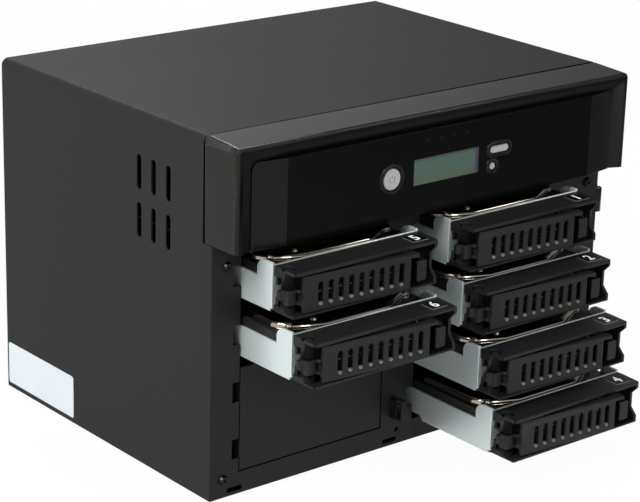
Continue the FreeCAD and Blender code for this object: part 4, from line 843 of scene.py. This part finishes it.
def in_front_rim(spot, normal):
    """Whether a face of the head lies on its front rim or in the recess behind it, short of the recess's
    right-hand slope. These faces get painted shade; the slope keeps the head's lighter finish, a painted
    reflection."""
    inside = RECESS_LEFT < spot.x < RIGHT_SLOPE and spot.z < RECESS_TOP
    return spot.y < RIM_Y or spot.y < RECESS_Y and inside


def open_seam(spot):
    """Draws the head's rear edge forward: a seam to the cover, even at the sides, that opens to the right
    along the top."""
    if spot.y > (SEAM_Y - NEAR_SEAM) * MM:
        over_top = SEAM_LEFT + SEAM_OPENING * (spot.x / MM + CABINET_WIDTH / 2) / CABINET_WIDTH
        below = min(max((HEAD_TOP - spot.z / MM) / SEAM_CORNER, 0.0), 1.0)
        spot.y -= (over_top + (SEAM_SIDE - over_top) * below) * MM


eased("bezel", head_abs, width=0.5, second=rim_shade_abs, chosen=in_front_rim, adjust=open_seam)
# The flange under the seam, in the darkened primer, keeps the seam dark: painted shade.
FLANGE = (290.0, 9.0, 0.5, 0.8)
under_seam = Matrix.Translation((0.0, SEAM_Y - 1.0, HEAD_TOP - 4.5))
plate("seam_flange", FLANGE, under_seam, "chassis", shaded_primer)

# Pale beads along two edges of the head, a painted highlight: points along each, and the radius there
EDGE_LINES = {
    "head_side_edge": (
        [(-146.9, -90.0, 214.78), (-146.94, -102.0, 214.3), (-146.98, -115.2, 213.45)], (0.12, 0.2, 0.26)
    ),
    "head_front_edge": (
        [(-147.0, -115.3, 213.5), (-136.0, -115.6, 213.5), (-90.0, -115.6, 213.5)], (0.26, 0.2, 0.06)
    ),
}
for label, (points, radii) in EDGE_LINES.items():
    line = mesh_of(label, lambda work: edge_line(work, points, radii))
    hand_over(label, line, "chassis", highlight_bead_abs)

# The window and the buttons
BEVEL_LEAST = 0.05
BEVEL_MOST = 0.6
RING_PROFILE = (
    (0.45, -0.6), (0.45, 0.5), (0.6, 0.6), (1.35, 0.2), (1.5, 0.2),
    (2.2, 0.6), (2.35, 0.6), (2.95, 0.2), (3.0, 0.0), (3.0, -0.6),
)
SYMBOL_RADII = (1.75, 2.15)
SYMBOL_START = 125
SYMBOL_SWEEP = 290
SYMBOL_STEPS = 32
SYMBOL_THICK = 0.04
SYMBOL_BAR = (0.4, 2.0, 0.18, SYMBOL_THICK)
SYMBOL_BAR_RISE = 1.7


def on_bevel(spot, normal):
    """Whether a face of the window is one of its bevelled ends."""
    return BEVEL_LEAST < abs(normal.x) < BEVEL_MOST


def standby_symbol(work):
    """An open ring with a bar at its gap, printed on the power button."""
    x, z = POWER[:2]
    inner, outer = SYMBOL_RADII
    section = ((inner, 0.0), (inner, -SYMBOL_THICK), (outer, -SYMBOL_THICK), (outer, 0.0))
    loops = []
    for step in range(SYMBOL_STEPS + 1):
        angle = math.radians(SYMBOL_START + step / SYMBOL_STEPS * SYMBOL_SWEEP)
        loops.append([
            work.verts.new((x + radius * math.cos(angle), BUTTON_FACE + rise, z + radius * math.sin(angle)))
            for radius, rise in section
        ])
    skin(work, loops)
    film(work, *SYMBOL_BAR, Matrix.Translation((x, BUTTON_FACE, z + SYMBOL_BAR_RISE)) @ UPRIGHT)


eased("window_panel", window_acrylic, width=0.25, second=window_bevel, chosen=on_bevel)
dress("indicator_lights", lamp_lens)
for button in ("power_button", "display_button", "function_button"):
    eased(button, button_abs, width=0.4)
for label, control in (("power", POWER), ("display", DISPLAY), ("function", FUNCTION)):
    ring = mesh_of(label + "_ring", lambda work: front_rim(work, control, RING_PROFILE))
    hand_over(label + "_ring", ring, "chassis", ring_gloss)
symbol = mesh_of("standby_symbol", standby_symbol)
hand_over("standby_symbol", symbol, "power_button", symbol_ink)

# The display's face
DISPLAY_FILM = (49.6, 15.3, 0.3, 0.1)
DISPLAY_Z = 180.05
display_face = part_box("display_module")[0].y / MM
on_display = Matrix.Translation((0.0, display_face, DISPLAY_Z)) @ UPRIGHT
plate("display_panel", DISPLAY_FILM, on_display, "chassis", display_glass)

# The trays: places count from a tray's corner
TOUCH = 0.1
PIVOT_SHADE_CAP = (7.4, 7.4, 3.7, 0.2)
OVER_PIVOT = Matrix.Translation((5.1, -8.0, FRONT_TOP - 1.25))
LABEL_HIGHLIGHT_RIM = (11.4, 10.8, 0.4, 0.06)
ON_TOP = Matrix.Translation((94.4, -9.2, FRONT_TOP))
NUMBER_LABEL = (11.0, 10.2, 0.4, 0.1)
RIM_TO_LABEL = Matrix.Translation((0.35, 0.45, 0.02))
FIGURE_HEIGHT = 7.6
FIGURE_THICK = 0.06
LABEL_TO_FIGURE = Matrix.Translation((0.0, 0.0, 0.13)) @ Matrix.Diagonal((0.85, 1.0, 1.0, 1.0))
CORNER_BOSS = (4.4, 4.4, 2.2, 4.0)
ON_CORNER = Matrix.Translation((6.2, 10.4, LID_BASE - TOUCH))
LID_SCREW = 2.2
LID_SCREWS = ((6.2, 10.4, 27.2), (23.6, 11.0, 27.3), (9.0, 96.0, 27.3), (96.0, 96.0, 27.3))
SLANT_END = 27.5
SLANT_DEPTH = 10.5

# The lever's slots
LEVER_LEFT = 7.9
LEVER_FACE = -17.2
LEVER_LEAN = 3.2 / 74.3
SLOT_FIRST = 19.9
SLOT_PITCH = 7.0
SLOT_COUNT = 9
SLOT_RADIUS = 1.6
SLOT_MIDDLE = 6.6
RAMP_DEPTH = 2.1
RAMP_RISE = 1.6
RAMP_START = 0.2
RAMP_FIT = 0.98
RAMP_SKIN = 0.02
RAMP_ACROSS = 10
RAMP_ALONG = 8


def slot_ends(work, place):
    """A rounded ramp at the lower end of every slot, from the lever's face up to its back."""
    row = RAMP_ACROSS + 1
    for slot in range(SLOT_COUNT):
        x = SLOT_FIRST + slot * SLOT_PITCH
        face = LEVER_FACE - LEVER_LEAN * (x - LEVER_LEFT)
        upper = []
        lower = []
        for step in range(RAMP_ALONG + 1):
            inward = RAMP_DEPTH * step / RAMP_ALONG
            rise = RAMP_RISE * math.sqrt(1 - (1 - step / RAMP_ALONG) ** 2)
            for part in range(row):
                aside = SLOT_RADIUS * RAMP_FIT * (2 * part / RAMP_ACROSS - 1)
                foot = SLOT_MIDDLE - math.sqrt(SLOT_RADIUS ** 2 - aside ** 2)
                crest = max(foot + RAMP_SKIN, SLOT_MIDDLE - SLOT_RADIUS + RAMP_START + rise)
                upper.append(work.verts.new(place @ Vector((x + aside, face + inward, crest))))
                lower.append(work.verts.new(place @ Vector((x + aside, face + inward, foot - RAMP_SKIN))))
        for step in range(RAMP_ALONG):
            for part in range(RAMP_ACROSS):
                corners = [step * row + part, step * row + part + 1]
                corners += [index + row for index in reversed(corners)]
                work.faces.new([upper[index] for index in corners])
                work.faces.new([lower[index] for index in reversed(corners)])
        rim = list(range(row))
        rim += [step * row + RAMP_ACROSS for step in range(1, RAMP_ALONG + 1)]
        rim += [RAMP_ALONG * row + part for part in range(RAMP_ACROSS - 1, -1, -1)]
        rim += [step * row for step in range(RAMP_ALONG - 1, 0, -1)]
        for here, onward in zip(rim, rim[1:] + rim[:1]):
            work.faces.new((upper[here], lower[here], lower[onward], upper[onward]))


def pressed_lid(spot, corner):
    """Draws the left end of the front edge of a drive's lid back along a slant."""
    along, depth, height = spot / MM - corner
    on_slant = height > LID_BASE - TOUCH and LID_LEFT - TOUCH < along < SLANT_END
    if on_slant and LID_FRONT - TOUCH < depth < LID_FRONT + LID_BEND:
        spot.y += SLANT_DEPTH * (SLANT_END - along) / (SLANT_END - LID_LEFT) * MM


for number in TRAYS:
    corner = tray_corner(number)
    place = Matrix.Translation(corner)
    body = f"tray_{number}"
    eased(f"tray_frame_{number}", tray_zinc, width=0.25)
    eased(f"tray_front_{number}", tray_abs, width=0.35)
    eased(f"lever_{number}", tray_abs, width=0.4)
    eased(f"release_tab_{number}", tray_abs, width=0.4)
    lid_low = corner.z + LID_BASE
    eased(
        f"drive_{number}", drive_casting, width=0.3, second=lid_nickel,
        chosen=lambda spot, normal: spot.z > lid_low, adjust=lambda spot: pressed_lid(spot, corner),
        split=corner.x + SLANT_END,
    )
    # The ramps wear a pale finish: a painted glint.
    ends = mesh_of(f"slot_ends_{number}", lambda work: slot_ends(work, place))
    hand_over(f"slot_ends_{number}", ends, f"lever_{number}", slot_glint_abs)
    # A dark gloss cap in the pivot's dish: painted shade in the dish.
    plate(f"pivot_shade_cap_{number}", PIVOT_SHADE_CAP, place @ OVER_PIVOT, body, ring_gloss)
    # The grey rim under the label, a painted highlight along its front and left edges.
    plate(f"label_paper_{number}", LABEL_HIGHLIGHT_RIM, place @ ON_TOP, body, label_highlight_rim)
    on_rim = place @ ON_TOP @ RIM_TO_LABEL
    plate(f"number_label_{number}", NUMBER_LABEL, on_rim, body, number_film)
    figure_place = on_rim @ LABEL_TO_FIGURE
    figure_place.translation *= MM
    figure = lettering(f"tray_number_{number}", str(number), FIGURE_HEIGHT, FIGURE_THICK, figure_place)
    hand_over(f"tray_number_{number}", figure, body, white_ink)
    plate(f"corner_boss_{number}", CORNER_BOSS, place @ ON_CORNER, body, drive_casting)
    spots = [corner + Vector(spot) for spot in LID_SCREWS]
    screws(f"lid_screws_{number}", body, spots, LID_SCREW, FACING_UP, screw_nickel)

# Inside and behind
GUARD_Y = REAR_Y + 0.7
FAN_SCREWS = (-35.8, 35.8)
REAR_SCREWS_X = (-143.5, 143.5)
REAR_SCREWS_Z = (12.0, 110.0, 206.0)
CONTACTS = [(116.2, 107.0, 99.6), (116.2, 107.0, 119.6)]
for node in ("cage_side_walls", "cage_centre_wall", "top_deck", "guide_rails"):
    dress(node, shaded_primer)
dress("power_supply", supply_zinc)
for node in ("control_board", "backplane", "main_board"):
    dress(node, board_green)
dress("display_module", insert_nylon)
dress("rear_sockets", shell_tin)
dress("mains_inlet", insert_nylon)
for side in FANS:
    dress(f"fan_frame_{side}", fan_polyester)
    dress(f"fan_rotor_{side}", fan_polyester)
guards = grown("fan_guard_wires", guard_tree, [(x, GUARD_Y, FAN_Z) for x in FANS.values()], {
    "First Ring": 12.0 * MM,
    "Ring Step": 9.0 * MM,
    "Rings": 4,
    "Reach": 43.0 * MM,
    "Wire": 0.7 * MM,
    "Finish": guard_wire,
})
guard_piece = hand_over("fan_guard_wires", guards, "chassis")
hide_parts("fan_guards")
rear_spots = [
    (x + across, REAR_Y, FAN_Z + up) for x in FANS.values() for across in FAN_SCREWS for up in FAN_SCREWS
]
rear_spots += [(x, REAR_Y, z) for x in REAR_SCREWS_X for z in REAR_SCREWS_Z]
screws("rear_screws", "chassis", rear_spots, CABINET_SCREW, FACING_REAR, screw_black)
contacts = grown("network_contacts", contact_tree, CONTACTS, {
    "Count": 8,
    "Pitch": 1.27 * MM,
    "Wire Size": (0.5 * MM, 6.0 * MM, 0.45 * MM),
    "Finish": contact_gold,
})
hand_over("network_contacts", contacts, "chassis")

# The camera
back = Vector((
    math.sin(CAMERA_AZIMUTH) * math.cos(CAMERA_ELEVATION),
    -math.cos(CAMERA_AZIMUTH) * math.cos(CAMERA_ELEVATION),
    math.sin(CAMERA_ELEVATION),
))
level = Vector((math.cos(CAMERA_AZIMUTH), math.sin(CAMERA_AZIMUTH), 0.0))
above = back.cross(level)
right = level * math.cos(CAMERA_ROLL) + above * math.sin(CAMERA_ROLL)
up = above * math.cos(CAMERA_ROLL) - level * math.sin(CAMERA_ROLL)
lens = bpy.data.cameras.new("photo_camera")
lens.sensor_fit = "HORIZONTAL"
lens.sensor_width = SENSOR_WIDTH
lens.lens = FOCAL_PIXELS * SENSOR_WIDTH / IMAGE_WIDTH
lens.clip_end = 50.0
camera = placed("photo_camera", lens)
camera.matrix_world = Matrix.Translation(CAMERA_PLACE * MM) @ Matrix((right, up, back)).transposed().to_4x4()
bpy.context.scene.camera = camera

# The stage: a pale floor that runs into a white background
FLOOR_REACH = 20.0
FLOOR_GLOW = 0.97
FLOOR_FADE = (0.22, 0.55)
RIGHT_FLOOR = 0.3
AMBIENT = 0.35
WALL_FADE = (0.40, 0.55)
CEILING = 0.1
RIGHT_FADE = (0.56, 0.71)
RIGHT_WALL = 0.25


def ray_kinds(tree):
    """Whether a ray comes from the camera, and whether it comes off a gloss or through glass."""
    rays = add(tree, "ShaderNodeLightPath").outputs
    mirrored = reckon(tree, "MAXIMUM", rays["Is Glossy Ray"], rays["Is Transmission Ray"])
    return rays["Is Camera Ray"], mirrored


# White paper, which shows darker to the right in a gloss: painted shade in its reflection
floor_mesh = bpy.data.meshes.new("floor")
floor_corners = [(side * FLOOR_REACH, end * FLOOR_REACH, 0.0) for side, end in QUARTERS]
floor_mesh.from_pydata(floor_corners, [], [(0, 1, 2, 3)])
floor = placed("floor", floor_mesh)
floor_finish, floor_tree = empty_material("studio_paper_white")
paper = add(floor_tree, "ShaderNodeBsdfDiffuse", {"Color": "#e8e8e8"}).outputs["BSDF"]
direct, mirrored = ray_kinds(floor_tree)
fading = ramp(floor_tree, object_axes(floor_tree)["X"], *FLOOR_FADE, 1.0, RIGHT_FLOOR)
brightness = choose(floor_tree, mirrored, 1.0, fading)
glow = add(floor_tree, "ShaderNodeEmission", {"Color": WHITE, "Strength": brightness}).outputs["Emission"]
seen = reckon(floor_tree, "MAXIMUM", direct, mirrored)
share = reckon(floor_tree, "MULTIPLY", seen, FLOOR_GLOW)
floor_mix = add(floor_tree, "ShaderNodeMixShader", {0: share, 1: paper, 2: glow}).outputs["Shader"]
add(floor_tree, "ShaderNodeOutputMaterial", {"Surface": floor_mix})
wear(floor_mesh, floor_finish)

# White walls up to the height at which the dark of the room begins, darker to the right
world = bpy.data.worlds.new("studio_white")
bpy.context.scene.world = world
world.use_nodes = True
sky_tree = world.node_tree
sky_tree.nodes.clear()
toward = add(sky_tree, "ShaderNodeTexCoord").outputs["Generated"]
heading = add(sky_tree, "ShaderNodeSeparateXYZ", {"Vector": toward}).outputs
upwards = ramp(sky_tree, heading["Z"], *WALL_FADE, 1.0, CEILING)
rightwards = ramp(sky_tree, heading["X"], *RIGHT_FADE, 1.0, RIGHT_WALL)
room = reckon(sky_tree, "MULTIPLY", upwards, rightwards)
direct, mirrored = ray_kinds(sky_tree)
reflected = choose(sky_tree, mirrored, AMBIENT, room)
strength = choose(sky_tree, direct, reflected, 1.0)
sky = add(sky_tree, "ShaderNodeBackground", {"Color": WHITE, "Strength": strength}).outputs["Background"]
add(sky_tree, "ShaderNodeOutputWorld", {"Surface": sky})

# The lamps in metres: where each stands, what it is aimed at, its size and its power
LAMPS = (
    ("overhead_softbox", (-0.1, -0.1, 1.5), (0.0, 0.0, 0.1), (1.6, 1.2), 6.0),
    ("left_softbox", (-1.2, -0.25, 1.2), (-0.15, -0.05, 0.1), (0.7, 0.7), 21.0),
    ("front_fill", (-0.085, -1.72, 0.75), (0.0, -0.1, 0.1), (0.3, 0.3), 4.0),
    ("rear_strip", (0.435, 1.32, 1.4), (-0.1, -0.1, 0.2), (0.45, 0.2), 8.5),
    ("right_strip", (0.95, -0.6, 1.25), (0.0, -0.12, 0.1), (0.25, 0.25), 1.6),
)
for name, spot, target, (width, depth), power in LAMPS:
    lamp = bpy.data.lights.new(name, "AREA")
    lamp.shape = "RECTANGLE"
    lamp.size = width
    lamp.size_y = depth
    lamp.energy = power
    softbox = placed(name, lamp)
    aim = Vector(target) - Vector(spot)
    softbox.matrix_world = Matrix.Translation(spot) @ aim.to_track_quat("-Z", "Y").to_matrix().to_4x4()

bpy.context.scene.view_settings.view_transform = "Standard"
